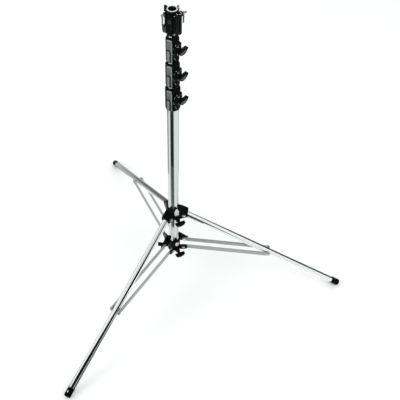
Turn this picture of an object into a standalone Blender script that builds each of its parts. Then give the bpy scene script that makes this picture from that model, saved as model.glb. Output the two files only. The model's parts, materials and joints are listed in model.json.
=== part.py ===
"""Studio stand: a chrome steel tripod stand with three telescoping risers.

A 50 mm base tube carries three lock castings, three thinner risers and a
head with a 28.6 mm socket. Two collars slide on the base tube. The upper
one holds the legs, the lower one holds a pair of braces for each leg.

Metres, +Z up. The origin is on the column's axis, on the underside of the
plug that closes the base tube. Leg 1 points along -Y.
"""

import math

import bmesh
import bpy
from mathutils import Matrix, Vector

# Clearance between pieces that touch, and how far a cutter runs past a face
GAP = 0.0003
OVERCUT = 0.004

# Column: four steel tubes, each sliding in the one below
BASE_TUBE_DIAMETER = 0.050
RISER_STEP = 0.005
TUBE_WALL = 0.0015
RISER_COUNT = 3
PLUG_FLANGE = 0.003
PLUG_SPIGOT = 0.009
GUIDE_FLANGE = 0.010
GUIDE_SPIGOT = 0.006
GUIDE_BORE_WALL = 0.005

# Lock castings: one at the top of the base tube and of each of two risers
FIRST_LOCK_HEIGHT = 0.956
LOCK_HEIGHT = 0.105
LOCK_SPACE = 0.016
LOCK_WALL = 0.0060
LOCK_TUBE_SEAT = 0.038
LOCK_AZIMUTH = -4.0
LOCK_SCREW_HEIGHT = 0.062
LOCK_BLOCK_REACH = 0.0125
LOCK_BLOCK_WIDTH = 0.025
LOCK_BLOCK_HEIGHT = 0.056
LOCK_BLOCK_FOOT = 0.0125
LOCK_BLOCK_SHOULDER = 0.0042
LOCK_EAR_RADIUS = 0.0062
LOCK_EAR_INSET = 0.0007
LOCK_TOP_EASE = (0.002, 0.004)
LOCK_FOOT_EASE = (0.0015, 0.003)
LOCK_PAD_AZIMUTH = -80.0
LOCK_PAD_WIDTH = 0.025
LOCK_PAD_REACH = 0.0075
LOCK_PAD_MARGIN = 0.004
LOCK_PANEL_WIDTH = 0.016
LOCK_PANEL_SHIFT = -0.0035
LOCK_PANEL_REACH = 0.0100
LOCK_PANEL_HEIGHT = 0.060
LOCK_PANEL_GROOVE = 0.0022
LOCK_PANEL_GROOVE_DEPTH = 0.0015
BUSH_DEPTH = 0.020
BUSH_WALL = 0.003
BUSH_RIM = 0.0020
BUSH_RIM_HEIGHT = 0.0025

# Clamp screws: a wing knob, its screw and the shoe that it presses
SCREW_DIAMETER = 0.010
SHOE_THICKNESS = 0.006
SHOE_WIDTH = 0.016
SHOE_HEIGHT = 0.018
WING_LENGTH = 0.050
WING_HEIGHT = 0.019
WING_THICKNESS = 0.016
WING_TOP = 0.006
WING_EDGE = 0.0020
WING_NECK_DIAMETER = 0.015
LOCK_WING_REACH = 0.0265
LOCK_WING_SCALE = 1.12
COLLAR_WING_REACH = 0.0480
SIDE_WING_REACH = 0.0460
SIDE_WING_SCALE = 0.95
SIDE_WING_TILT = 62.0

# Head: socket, side lug, two upright fins, two tee screws
HEAD_HEIGHT = 0.1045
HEAD_TUBE_SEAT = 0.040
HEAD_WALL = 0.0062
HEAD_NECK_HEIGHT = 0.012
HEAD_NECK_TAPER = 0.0025
SOCKET_BORE_DIAMETER = 0.0290
SOCKET_DEPTH = 0.050
LINER_WALL = 0.0030
LINER_FLOOR = 0.003
RIM_HEIGHT = 0.0035
RIM_OVERHANG = 0.0030
LUG_AZIMUTH = -6.0
LUG_OFFSET = 0.031
LUG_DIAMETER = 0.022
LUG_BORE_DIAMETER = 0.0163
LUG_BORE_DEPTH = 0.045
LUG_BOTTOM = 0.015
LUG_TOP_DROP = 0.003
LUG_WEB_WIDTH = 0.0176
LUG_RIB_AZIMUTHS = (-92.0, -56.0, -13.0, 25.0)
BODY_RIB_AZIMUTHS = (-65.0, -37.0)
BODY_RIB_HEIGHTS = (0.020, 0.085)
RIB_WIDTH = 0.0014
RIB_RISE = 0.0007
RIB_ROOT = 0.0015
RIB_MARGIN = 0.003
BULGE_AZIMUTH = 225.0
BULGE_REACH = 0.0275
BULGE_WIDTH = 0.016
BULGE_TOP = 0.074
BULGE_SLOPE = 0.006
EAR_REACH = 0.0365
EAR_BOTTOM = 0.0085
EAR_CORNER = 0.0165
EAR_SHOULDER = 0.034
EAR_TOP = 0.042
FIN_THICKNESS = 0.006
FIN_LEAN = 0.0035
FIN_ROOT = 0.022
# Each fin: azimuth, reach and drop of its shoulder, reach and rise of its tip over the casting's top
FINS = ((66.0, 0.0300, 0.0070, 0.0275, 0.0080), (181.0, 0.0345, 0.0175, 0.0340, 0.0062))
TEE_AZIMUTH = 61.0
TEE_HEIGHTS = (0.077, 0.090)
TEE_REACHES = (0.046, 0.039)
TEE_ENDS = (0.0575, 0.0432)
TEE_SCREW_DIAMETER = 0.009
TEE_BAR_DIAMETER = 0.007
TEE_BAR_LENGTH = 0.050
TEE_BAR_RISE = 0.006
TEE_TILTS = (2.0, -2.0)
GUSSET_WIDTH = 0.013
GUSSET_ROOT = 0.020
GUSSET_ROOT_SLOPE = 0.002
GUSSET_RISE = 0.0085
GUSSET_NOSE_LOW = 0.007
GUSSET_NOSE_HIGH = 0.0065
GUSSET_TO_BAR = 0.0055
HEAD_BOLT_AZIMUTH = -40.0
HEAD_BOLT_HEIGHT = 0.0125
HEAD_BOLT_DIAMETER = 0.006
HEAD_BOLT_HEAD = 0.010
HEAD_BOLT_HEAD_LENGTH = 0.004

# Legs and the braces that spread them
LEG_AZIMUTHS = (-90.0, 30.0, 150.0)
LEG_DIAMETER = 0.030
LEG_WALL = 0.002
LEG_LENGTH = 0.936
LEG_END = 0.008
LEG_SPREAD = 58.8
LEG_TO_BRACE = 0.4917
PIVOT_RADIUS = 0.050
HINGE_BOLT_DIAMETER = 0.010
HINGE_HEAD_DIAMETER = 0.017
HINGE_HEAD_LENGTH = 0.005
FOOT_WALL = 0.0010
FOOT_LENGTH = 0.044
FOOT_END_WALL = 0.006
FOOT_HOLE_DIAMETER = 0.012
FOOT_HOLE_FROM_END = 0.0225
FOOT_FLAT = 0.0012
BRACE_FALL = 0.018
BRACE_HEIGHT = 0.022
BRACE_THICKNESS = 0.0065
BRACE_SIDE_SPACE = 0.0027
BRACE_BOLT_DIAMETER = 0.008
BRACE_WASHER_DIAMETER = 0.018
PIN_INNER_HEAD = 0.0015
PIN_OUTER_HEAD = 0.004
PIN_HEAD_DIAMETER = 0.014

# Leg collar, its three forks and the clamp boss
BRACE_PIVOT_HEIGHT = 0.045
COLLAR_WALL = 0.0057
LEG_COLLAR_TOP = 0.034
LEG_COLLAR_BOTTOM = 0.0245
LEG_COLLAR_FLANGE = 0.003
LEG_COLLAR_FLANGE_HEIGHT = 0.0065
LEG_WEB_REACH = 0.033
LEG_WEB_WIDTH = 0.025
LEG_WEB_FOOT = 0.016
LEG_WEB_SHOULDER = 0.036
LEG_WEB_TOP = 0.056
LEG_WEB_TOP_WIDTH = 0.008
FORK_CHEEK = 0.005
FORK_SIDE_SPACE = 0.0006
FORK_REACH = 0.069
FORK_ROOF = 0.005
FORK_ROOF_SPACE = 0.0005
FORK_FOOT = 0.026
FORK_FOOT_REACH = 0.036
FORK_TIP = 0.007
FORK_STEP = 0.0015
LEG_CLAMP_DROP = 0.0090
BOSS_DIAMETER = 0.022
BOSS_REACH = 0.026
COLLAR_KNOB_AZIMUTH = -30.0

# Brace collar, its six wing plates and two clamp bosses; the plates beside the front clamp are lower
BRACE_COLLAR_TOP = 0.030
BRACE_COLLAR_BOTTOM = 0.039
PLATE_THICKNESS = 0.0055
PLATE_SIDE_SPACE = 0.0005
PLATE_REACH = 0.069
PLATE_FOOT = 0.017
PLATE_TIP = 0.014
PLATE_CORNER = 0.004
PLATE_EAR = 0.045
PLATE_EAR_REACH = 0.024
PLATE_OVERLAP = 0.0025
LOW_PLATE_TOP = 0.0155
LOW_PLATE_TIP_FOOT = 0.009
LOW_PLATE_BEND = 0.048
BRACE_WEB_REACH = 0.0370
BRACE_WEB_WIDTH = 0.020
BRACE_WEB_FOOT = 0.010
BRACE_WEB_TOP = 0.037
BRACE_CLAMP_DROP = 0.017
SIDE_CLAMP_DROP = 0.0275
SIDE_KNOB_AZIMUTH = 210.0
SIDE_BOSS_REACH = 0.030

# Fineness of round shapes
TUBE_SIDES = 36
GUIDE_SIDES = 24
CASTING_SIDES = 36
LEG_SIDES = 28
SMALL_SIDES = 20
PIN_SIDES = 14
ARC_STEPS = 8

# How round shapes are shaded and eased, and how close points merge
SMOOTH_ANGLE = 35.0
EASED_ANGLE = 50.0
MERGE_DISTANCE = 0.00002

# Values that follow from the sizes above
HALF_LEG_ANGLE = (LEG_AZIMUTHS[1] - LEG_AZIMUTHS[0]) / 2
BASE_RADIUS = BASE_TUBE_DIAMETER / 2
LEG_RADIUS = LEG_DIAMETER / 2
FOOT_RADIUS = LEG_RADIUS + GAP + FOOT_WALL
SPREAD = math.radians(LEG_SPREAD)
BRACE_OUT = LEG_TO_BRACE * math.sin(SPREAD)
BRACE_LENGTH = math.hypot(BRACE_OUT, BRACE_FALL)
BRACE_ANGLE = math.atan2(BRACE_OUT, BRACE_FALL)
LEG_PIVOT_HEIGHT = BRACE_PIVOT_HEIGHT - BRACE_FALL + LEG_TO_BRACE * math.cos(SPREAD)
FLOOR_HEIGHT = (
    LEG_PIVOT_HEIGHT - LEG_LENGTH * math.cos(SPREAD) - FOOT_RADIUS * math.sin(SPREAD) + FOOT_FLAT
)
COLLAR_RADIUS = BASE_RADIUS + GAP + COLLAR_WALL
BRACE_INNER = LEG_RADIUS + BRACE_SIDE_SPACE
BRACE_OUTER = BRACE_INNER + BRACE_THICKNESS
PLATE_INNER = BRACE_OUTER + PLATE_SIDE_SPACE
PLATE_OUTER = PLATE_INNER + PLATE_THICKNESS
FORK_INNER = LEG_RADIUS + FORK_SIDE_SPACE
FORK_OUTER = FORK_INNER + FORK_CHEEK
SCREW_RADIUS = SCREW_DIAMETER / 2
SOCKET_RADIUS = SOCKET_BORE_DIAMETER / 2
LINER_RADIUS = SOCKET_RADIUS + LINER_WALL
HEAD_RADIUS = LINER_RADIUS + GAP + HEAD_WALL

# The two clamps of the brace collar
BRACE_CLAMPS = (
    {
        "name": "brace_collar",
        "azimuth": COLLAR_KNOB_AZIMUTH,
        "drop": BRACE_CLAMP_DROP,
        "boss": BOSS_REACH,
        "wing": COLLAR_WING_REACH,
        "scale": 1.0,
        "tilt": 0.0,
    },
    {
        "name": "side_clamp",
        "azimuth": SIDE_KNOB_AZIMUTH,
        "drop": SIDE_CLAMP_DROP,
        "boss": SIDE_BOSS_REACH,
        "wing": SIDE_WING_REACH,
        "scale": SIDE_WING_SCALE,
        "tilt": SIDE_WING_TILT,
    },
)


def tube_radius(number):
    """Outer radius of the base tube (0) or of a riser (1, 2, 3)."""
    return (BASE_TUBE_DIAMETER - number * RISER_STEP) / 2


def lock_bottom(number):
    """Height of the underside of a lock casting; number 3 is the head."""
    return FIRST_LOCK_HEIGHT + number * (LOCK_HEIGHT + LOCK_SPACE)


def guide_bottom(number):
    """Height of the underside of a riser's bottom guide when closed."""
    stacked = (number - 1) * (GUIDE_FLANGE + GUIDE_SPIGOT + GAP)
    return PLUG_FLANGE + PLUG_SPIGOT + GAP + stacked


def tube_ends(number):
    """Bottom and top height of the base tube (0) or of a riser."""
    bottom = PLUG_FLANGE + GAP if number == 0 else guide_bottom(number) + GUIDE_FLANGE + GAP
    seat = HEAD_TUBE_SEAT if number == RISER_COUNT else LOCK_TUBE_SEAT
    return bottom, lock_bottom(number) + seat - GAP


# Materials and collections


def material(name, colour, roughness, metallic):
    """A Principled material of one colour."""
    mat = bpy.data.materials.new(name)
    mat.use_nodes = True
    shader = mat.node_tree.nodes["Principled BSDF"]
    shader.inputs["Base Color"].default_value = (*colour, 1.0)
    shader.inputs["Roughness"].default_value = roughness
    shader.inputs["Metallic"].default_value = metallic
    mat.diffuse_color = (*colour, 1.0)
    return mat


def finishes():
    """The colours seen in the photograph, by the name of the finish."""
    return {
        "chrome": ((0.72, 0.75, 0.74), 0.12, 1.0),
        "casting": ((0.018, 0.019, 0.024), 0.42, 0.0),
        "plastic": ((0.022, 0.022, 0.024), 0.5, 0.0),
        "zinc": ((0.60, 0.61, 0.60), 0.3, 1.0),
        "brass": ((0.62, 0.47, 0.22), 0.35, 1.0),
    }


class Stand:
    """Keeps the collections that pieces and cutters go into."""

    def __init__(self):
        self.pieces = bpy.data.collections.new("studio_stand")
        self.tools = bpy.data.collections.new("cutters")

    def show(self):
        """Links both collections to the scene once everything is in them."""
        for group in (self.pieces, self.tools):
            bpy.context.scene.collection.children.link(group)
        bpy.context.view_layer.update()

    def empty(self, name, location, turn=(0.0, 0.0, 0.0), parent=None):
        """An empty on a joint's axis, which carries pieces."""
        holder = bpy.data.objects.new(name, None)
        holder.empty_display_size = 0.03
        holder.location = location
        holder.rotation_euler = [math.radians(angle) for angle in turn]
        holder.parent = parent
        self.tools.objects.link(holder)
        return holder

    def piece(self, name, mesh, finish, parent, location=(0.0, 0.0, 0.0), azimuth=0.0):
        """A named solid with its own material, carried by an empty."""
        body = bpy.data.objects.new(name, mesh)
        body.location = location
        body.rotation_euler = (0.0, 0.0, math.radians(azimuth))
        body.parent = parent
        mesh.materials.clear()
        mesh.materials.append(material(name, *finishes()[finish]))
        self.pieces.objects.link(body)
        return body

    def tool(self, target, operation, mesh, location=(0.0, 0.0, 0.0), azimuth=0.0, tilt=0.0):
        """A form that is joined to its target or cut from it, placed in the target's own frame."""
        group_name = f"{target.name}_{operation.lower()}"
        group = bpy.data.collections.get(group_name)
        if group is None:
            group = bpy.data.collections.new(group_name)
            self.tools.children.link(group)
            boolean = target.modifiers.new(group_name, "BOOLEAN")
            boolean.operation = operation
            boolean.solver = "EXACT"
            boolean.operand_type = "COLLECTION"
            boolean.collection = group
        shape = bpy.data.objects.new(group_name, mesh)
        shape.parent = target
        shape.location = location
        shape.rotation_euler = (0.0, math.radians(tilt), math.radians(azimuth))
        shape.hide_render = True
        shape.display_type = "WIRE"
        group.objects.link(shape)

    def join(self, target, mesh, **place):
        """Adds a form to a solid."""
        self.tool(target, "UNION", mesh, **place)

    def cut(self, target, mesh, **place):
        """Cuts a form out of a solid."""
        self.tool(target, "DIFFERENCE", mesh, **place)


# Meshes


def finished_mesh(bm, name="form", smooth=True):
    """A mesh from a bmesh, with round faces shaded smooth."""
    bmesh.ops.recalc_face_normals(bm, faces=bm.faces)
    mesh = bpy.data.meshes.new(name)
    bm.to_mesh(mesh)
    bm.free()
    if smooth:
        mesh.shade_smooth()
        mesh.set_sharp_from_angle(angle=math.radians(SMOOTH_ANGLE))
    return mesh


def box(low, high):
    """A box between two corners."""
    bm = bmesh.new()
    size = Vector(high) - Vector(low)
    middle = (Vector(high) + Vector(low)) / 2
    bmesh.ops.create_cube(bm, size=1.0, matrix=Matrix.Translation(middle) @ Matrix.Diagonal((*size, 1.0)))
    return finished_mesh(bm, smooth=False)


def along(axis):
    """The turn that brings +Z onto an axis named x, y or z."""
    turns = {"x": Matrix.Rotation(math.pi / 2, 4, "Y"), "y": Matrix.Rotation(-math.pi / 2, 4, "X")}
    return turns.get(axis, Matrix.Identity(4))


def rod(radius, start, end, axis="z", sides=SMALL_SIDES, centre=(0.0, 0.0, 0.0)):
    """A round bar along an axis, from start to end, about a centre."""
    bm = bmesh.new()
    middle = Matrix.Translation((0.0, 0.0, (start + end) / 2))
    bmesh.ops.create_cone(
        bm,
        cap_ends=True,
        segments=sides,
        radius1=radius,
        radius2=radius,
        depth=end - start,
        matrix=Matrix.Translation(centre) @ along(axis) @ middle,
    )
    return finished_mesh(bm)


def turned(profile, sides=CASTING_SIDES, axis="z", ring=False):
    """A shape turned from a profile of (radius, height) points, listed from the top down its outer side."""
    bm = bmesh.new()
    points = [bm.verts.new((radius, 0.0, height)) for radius, height in profile]
    for first, second in zip(points, points[1:]):
        bm.edges.new((first, second))
    if ring:
        bm.edges.new((points[-1], points[0]))
    mesh = bpy.data.meshes.new("profile")
    bm.to_mesh(mesh)
    bm.free()
    lathe = bpy.data.objects.new("lathe", mesh)
    bpy.context.scene.collection.objects.link(lathe)
    screw = lathe.modifiers.new("turn", "SCREW")
    screw.steps = sides
    screw.render_steps = sides
    screw.use_merge_vertices = True
    screw.merge_threshold = MERGE_DISTANCE
    shape = baked(lathe)
    shape.transform(along(axis))
    return shape


def baked(source):
    """The evaluated mesh of a helper object, which is then removed."""
    bpy.context.view_layer.update()
    shape = bpy.data.meshes.new_from_object(source.evaluated_get(bpy.context.evaluated_depsgraph_get()))
    bpy.data.objects.remove(source)
    bm = bmesh.new()
    bm.from_mesh(shape)
    bmesh.ops.remove_doubles(bm, verts=bm.verts, dist=MERGE_DISTANCE)
    bpy.data.meshes.remove(shape)
    return finished_mesh(bm)


def extruded(outline, low, high, plane="xz", edge=0.0):
    """A flat outline made into a slab. Plane xz spans low to high along Y, plane yz along X."""
    curve = bpy.data.curves.new("outline", "CURVE")
    curve.dimensions = "2D"
    curve.fill_mode = "BOTH"
    curve.extrude = (high - low) / 2
    spline = curve.splines.new("POLY")
    spline.points.add(len(outline) - 1)
    for point, (first, second) in zip(spline.points, outline):
        point.co = (first, second, 0.0, 1.0)
    spline.use_cyclic_u = True
    sheet = bpy.data.objects.new("sheet", curve)
    bpy.context.scene.collection.objects.link(sheet)
    if edge:
        weld = sheet.modifiers.new("weld", "WELD")
        weld.merge_threshold = MERGE_DISTANCE
        bevel = sheet.modifiers.new("edge", "BEVEL")
        bevel.width = edge
        bevel.segments = 2
        bevel.limit_method = "ANGLE"
        bevel.angle_limit = math.radians(EASED_ANGLE)
    shape = baked(sheet)
    middle = Matrix.Translation((0.0, 0.0, (low + high) / 2))
    turns = {
        "xz": Matrix.Rotation(math.pi / 2, 4, "X") @ Matrix.Scale(-1, 4, (0, 0, 1)),
        "yz": Matrix(((0, 0, 1, 0), (1, 0, 0, 0), (0, 1, 0, 0), (0, 0, 0, 1))),
    }
    shape.transform(turns[plane] @ middle)
    bm = bmesh.new()
    bm.from_mesh(shape)
    bpy.data.meshes.remove(shape)
    return finished_mesh(bm)


def arc(centre, radius, start, end, steps=ARC_STEPS):
    """Points on an arc, with angles in degrees."""
    points = []
    for step in range(steps + 1):
        angle = math.radians(start + (end - start) * step / steps)
        points.append((centre[0] + radius * math.cos(angle), centre[1] + radius * math.sin(angle)))
    return points


def tube(outer, inner, bottom, top, sides=TUBE_SIDES):
    """A round tube along Z."""
    return turned([(outer, top), (outer, bottom), (inner, bottom), (inner, top)], sides, ring=True)


# Column


def build_base_plug(stand, carrier):
    """The plug that closes the base tube, whose underside is the origin."""
    rim = BASE_RADIUS
    spigot = BASE_RADIUS - TUBE_WALL - GAP
    top = PLUG_FLANGE + PLUG_SPIGOT
    profile = [(0.0, top), (spigot, top), (spigot, PLUG_FLANGE), (rim, PLUG_FLANGE), (rim, 0.0), (0.0, 0.0)]
    stand.piece("base_plug", turned(profile, TUBE_SIDES), "plastic", carrier)


def build_tube(stand, number, carrier):
    """The base tube or a riser tube."""
    bottom, top = tube_ends(number)
    radius = tube_radius(number)
    name = "base_tube" if number == 0 else f"riser_tube_{number}"
    stand.piece(name, tube(radius, radius - TUBE_WALL, bottom, top), "chrome", carrier)


def build_riser_guide(stand, number, carrier):
    """The ring under a riser that runs in the tube below."""
    bottom = guide_bottom(number)
    shoulder = bottom + GUIDE_FLANGE
    top = shoulder + GUIDE_SPIGOT
    running = tube_radius(number - 1) - TUBE_WALL - GAP
    spigot = tube_radius(number) - TUBE_WALL - GAP
    bore = spigot - GUIDE_BORE_WALL
    profile = [(spigot, top), (spigot, shoulder), (running, shoulder), (running, bottom)]
    profile += [(bore, bottom), (bore, top)]
    stand.piece(f"riser_guide_{number}", turned(profile, GUIDE_SIDES, ring=True), "plastic", carrier)


def cut_clamp(stand, casting, held, height, azimuth, reach):
    """Cuts the pocket of a clamp shoe and the bore of its screw."""
    place = {"location": (0.0, 0.0, height), "azimuth": azimuth}
    back = held + GAP + SHOE_THICKNESS + GAP
    half_width = SHOE_WIDTH / 2 + GAP
    half_height = SHOE_HEIGHT / 2 + GAP
    pocket = box((0.0, -half_width, -half_height), (back, half_width, half_height))
    stand.cut(casting, pocket, **place)
    bore = rod(SCREW_RADIUS + GAP, 0.0, reach + OVERCUT, axis="x")
    stand.cut(casting, bore, **place)


def build_clamp_shoe(stand, name, held, height, azimuth, carrier):
    """The brass shoe between a clamp screw and the tube that it grips."""
    back = held + GAP + SHOE_THICKNESS
    low = (held - SHOE_THICKNESS, -SHOE_WIDTH / 2, -SHOE_HEIGHT / 2)
    shoe = stand.piece(
        name,
        box(low, (back, SHOE_WIDTH / 2, SHOE_HEIGHT / 2)),
        "brass",
        carrier,
        location=(0.0, 0.0, height),
        azimuth=azimuth,
    )
    stand.cut(shoe, rod(held + GAP, -SHOE_HEIGHT, SHOE_HEIGHT, sides=TUBE_SIDES))


def wing_outline(scale):
    """The half-moon of a wing knob, seen along its screw."""
    half = WING_LENGTH * scale / 2
    depth = WING_HEIGHT * scale
    top = WING_TOP * scale
    radius = (half * half + depth * depth) / (2 * depth)
    below = math.degrees(math.acos((radius - depth) / radius))
    return arc((0.0, top - depth + radius), radius, -90 - below, -90 + below, 2 * ARC_STEPS)


def build_wing_knob(stand, name, held, height, azimuth, boss_reach, reach, carrier, scale=1.0, tilt=0.0):
    """A wing knob with its screw, on an empty that lies on the screw's axis."""
    axis = stand.empty(f"{name}_axis", (0.0, 0.0, height), (0.0, 0.0, azimuth), carrier)
    axis.rotation_euler.rotate_axis("X", math.radians(tilt))
    near = reach - WING_THICKNESS / 2
    far = reach + WING_THICKNESS / 2
    tip = held + 2 * GAP + SHOE_THICKNESS
    wing = extruded(wing_outline(scale), near, far, plane="yz", edge=WING_EDGE)
    knob = stand.piece(name, wing, "plastic", axis)
    stand.join(knob, rod(SCREW_RADIUS, tip, (near + far) / 2, axis="x"))
    neck = WING_NECK_DIAMETER * scale / 2
    stand.join(knob, rod(neck, boss_reach + GAP, (near + far) / 2 - GAP, axis="x"))


def build_lock(stand, number, carrier):
    """A lock casting on a tube's top, with its bush, shoe and wing knob."""
    held = tube_radius(number + 1)
    seat = tube_radius(number)
    outer = seat + LOCK_WALL
    bottom = lock_bottom(number)
    name = f"lock_casting_{number + 1}"
    profile = [(0.0, LOCK_HEIGHT), (outer - LOCK_TOP_EASE[0], LOCK_HEIGHT)]
    profile += [(outer, LOCK_HEIGHT - LOCK_TOP_EASE[1])]
    profile += [(outer, LOCK_FOOT_EASE[1]), (outer - LOCK_FOOT_EASE[0], 0.0), (0.0, 0.0)]
    place = {"location": (0.0, 0.0, bottom), "azimuth": LOCK_AZIMUTH}
    casting = stand.piece(name, turned(profile), "casting", carrier, **place)
    add_lock_block(stand, casting, seat)
    add_lock_pad(stand, casting, seat)
    stand.cut(casting, rod(seat + GAP, -OVERCUT, LOCK_TUBE_SEAT, sides=TUBE_SIDES))
    pocket_floor = LOCK_HEIGHT - BUSH_DEPTH
    stand.cut(
        casting, rod(held + 2 * GAP, LOCK_TUBE_SEAT - OVERCUT, pocket_floor + OVERCUT, sides=TUBE_SIDES)
    )
    stand.cut(
        casting, rod(held + BUSH_WALL + 2 * GAP, pocket_floor, LOCK_HEIGHT + OVERCUT, sides=TUBE_SIDES)
    )
    block = seat + LOCK_BLOCK_REACH
    cut_clamp(stand, casting, held, LOCK_SCREW_HEIGHT, 0.0, block)
    build_guide_bush(stand, number, held, bottom, carrier)
    height = bottom + LOCK_SCREW_HEIGHT
    build_clamp_shoe(stand, f"lock_shoe_{number + 1}", held, height, LOCK_AZIMUTH, carrier)
    build_wing_knob(
        stand,
        f"lock_knob_{number + 1}",
        held,
        height,
        LOCK_AZIMUTH,
        block,
        seat + LOCK_WING_REACH,
        carrier,
        LOCK_WING_SCALE,
    )


def add_lock_block(stand, casting, seat):
    """The clamp block of a lock casting, with a rounded ear on each side."""
    block = seat + LOCK_BLOCK_REACH
    half = LOCK_BLOCK_WIDTH / 2
    low = LOCK_SCREW_HEIGHT - LOCK_BLOCK_HEIGHT / 2
    high = LOCK_SCREW_HEIGHT + LOCK_BLOCK_HEIGHT / 2
    inside = seat - TUBE_WALL
    wall = seat + LOCK_WALL
    slope = LOCK_BLOCK_FOOT / 2
    side = [(inside, low - LOCK_BLOCK_FOOT), (wall, low - slope), (block, low + slope)]
    side += [(block, high - LOCK_BLOCK_SHOULDER), (wall, high), (inside, high)]
    stand.join(casting, extruded(side, -half, half))
    for sign in (1, -1):
        ear = rod(LOCK_EAR_RADIUS, low - slope / 2, high - slope, sides=PIN_SIDES)
        stand.join(casting, ear, location=(wall, sign * (half - LOCK_EAR_INSET), 0.0))


def add_lock_pad(stand, casting, seat):
    """The flat pad of a lock casting and the arched panel on it, with a groove round the panel."""
    inside = seat - TUBE_WALL
    face = seat + LOCK_PAD_REACH
    half = LOCK_PAD_WIDTH / 2
    turn = {"azimuth": LOCK_PAD_AZIMUTH - LOCK_AZIMUTH}
    pad = box((inside, -half, LOCK_PAD_MARGIN), (face, half, LOCK_HEIGHT - LOCK_PAD_MARGIN))
    stand.join(casting, pad, **turn)
    half = LOCK_PANEL_WIDTH / 2
    panel = arch_outline(half + GAP, 2 * LOCK_PAD_MARGIN)
    stand.join(casting, extruded(panel, inside, seat + LOCK_PANEL_REACH, plane="yz"), **turn)
    groove = arch_outline(half + LOCK_PANEL_GROOVE, 0.0) + arch_outline(half, 0.0)[::-1]
    cutter = extruded(groove, face - LOCK_PANEL_GROOVE_DEPTH, face + OVERCUT, plane="yz")
    stand.cut(casting, cutter, **turn)


def arch_outline(half, foot):
    """An arch on the lock's pad: both sides up from the foot, and a round top."""
    crown = LOCK_PANEL_HEIGHT - LOCK_PANEL_WIDTH / 2
    top = arc((LOCK_PANEL_SHIFT, crown), half, 0, 180)
    return [(LOCK_PANEL_SHIFT + half, foot)] + top + [(LOCK_PANEL_SHIFT - half, foot)]


def build_guide_bush(stand, number, held, bottom, carrier):
    """The ring in the top of a lock casting that the riser slides through."""
    inner = held + GAP
    wall = held + BUSH_WALL + GAP
    rim = wall + BUSH_RIM
    low = bottom + LOCK_HEIGHT - BUSH_DEPTH + GAP
    shoulder = bottom + LOCK_HEIGHT + GAP
    top = shoulder + BUSH_RIM_HEIGHT
    profile = [(rim, top), (rim, shoulder), (wall, shoulder), (wall, low), (inner, low), (inner, top)]
    stand.piece(f"guide_bush_{number + 1}", turned(profile, TUBE_SIDES, ring=True), "plastic", carrier)


# Head


def build_head(stand, carrier):
    """The head casting, its socket liner, its bolt and its two tee screws."""
    bottom = lock_bottom(RISER_COUNT)
    riser = tube_radius(RISER_COUNT)
    neck = riser + GAP + HEAD_WALL - HEAD_NECK_TAPER
    profile = [(0.0, HEAD_HEIGHT), (HEAD_RADIUS, HEAD_HEIGHT), (HEAD_RADIUS, HEAD_NECK_HEIGHT)]
    profile += [(neck, 0.0), (0.0, 0.0)]
    head = stand.piece("head_casting", turned(profile), "casting", carrier, location=(0.0, 0.0, bottom))
    add_lug(stand, head)
    add_head_ribs(stand, head)
    add_fins(stand, head)
    for tee, azimuth in enumerate((TEE_AZIMUTH, TEE_AZIMUTH + 180)):
        stand.join(head, gusset(tee), azimuth=azimuth)
    stand.cut(head, rod(riser + GAP, -OVERCUT, HEAD_TUBE_SEAT, sides=TUBE_SIDES))
    liner_bottom = HEAD_HEIGHT - SOCKET_DEPTH - LINER_FLOOR
    stand.cut(head, rod(LINER_RADIUS + GAP, liner_bottom - GAP, HEAD_HEIGHT + OVERCUT, sides=TUBE_SIDES))
    for tee, azimuth in enumerate((TEE_AZIMUTH, TEE_AZIMUTH + 180)):
        bore = rod(TEE_SCREW_DIAMETER / 2 + GAP, 0.0, TEE_REACHES[tee] + OVERCUT, axis="x")
        stand.cut(head, bore, location=(0.0, 0.0, TEE_HEIGHTS[tee]), azimuth=azimuth)
    bolt_bore = rod(
        HEAD_BOLT_DIAMETER / 2 + GAP, 0.0, HEAD_RADIUS + OVERCUT, axis="x", sides=PIN_SIDES
    )
    stand.cut(head, bolt_bore, location=(0.0, 0.0, HEAD_BOLT_HEIGHT), azimuth=HEAD_BOLT_AZIMUTH)
    build_socket_liner(stand, bottom, carrier)
    build_head_bolt(stand, bottom, riser, carrier)
    for tee, side in enumerate(("back", "front")):
        build_tee_screw(stand, f"head_screw_{side}", tee, bottom, carrier)


def add_lug(stand, head):
    """The side lug with its small socket and the web that holds it."""
    lug = LUG_DIAMETER / 2
    top = HEAD_HEIGHT - LUG_TOP_DROP
    place = on_circle(LUG_OFFSET, LUG_AZIMUTH)
    stand.join(head, rod(lug, LUG_BOTTOM, top), location=place)
    half = LUG_WEB_WIDTH / 2
    web = box((HEAD_RADIUS - OVERCUT, -half, LUG_BOTTOM + GAP), (LUG_OFFSET, half, top - GAP))
    stand.join(head, web, azimuth=LUG_AZIMUTH)
    stand.cut(head, rod(LUG_BORE_DIAMETER / 2, top - LUG_BORE_DEPTH, top + OVERCUT), location=place)
    for azimuth in LUG_RIB_AZIMUTHS:
        fine = rib(lug, LUG_BOTTOM + RIB_MARGIN, top - RIB_MARGIN)
        stand.join(head, fine, location=place, azimuth=azimuth)


def add_head_ribs(stand, head):
    """The fine ribs on the casting's front, and the flat bulge on its left with the ear at its foot."""
    for azimuth in BODY_RIB_AZIMUTHS:
        stand.join(head, rib(HEAD_RADIUS, *BODY_RIB_HEIGHTS), azimuth=azimuth)
    side = [(LINER_RADIUS, EAR_BOTTOM), (HEAD_RADIUS, EAR_BOTTOM), (EAR_REACH, EAR_CORNER)]
    side += [(EAR_REACH, EAR_SHOULDER), (BULGE_REACH, EAR_TOP), (BULGE_REACH, BULGE_TOP - BULGE_SLOPE)]
    side += [(HEAD_RADIUS, BULGE_TOP), (LINER_RADIUS, BULGE_TOP)]
    stand.join(head, extruded(side, -BULGE_WIDTH / 2, BULGE_WIDTH / 2), azimuth=BULGE_AZIMUTH)


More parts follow.
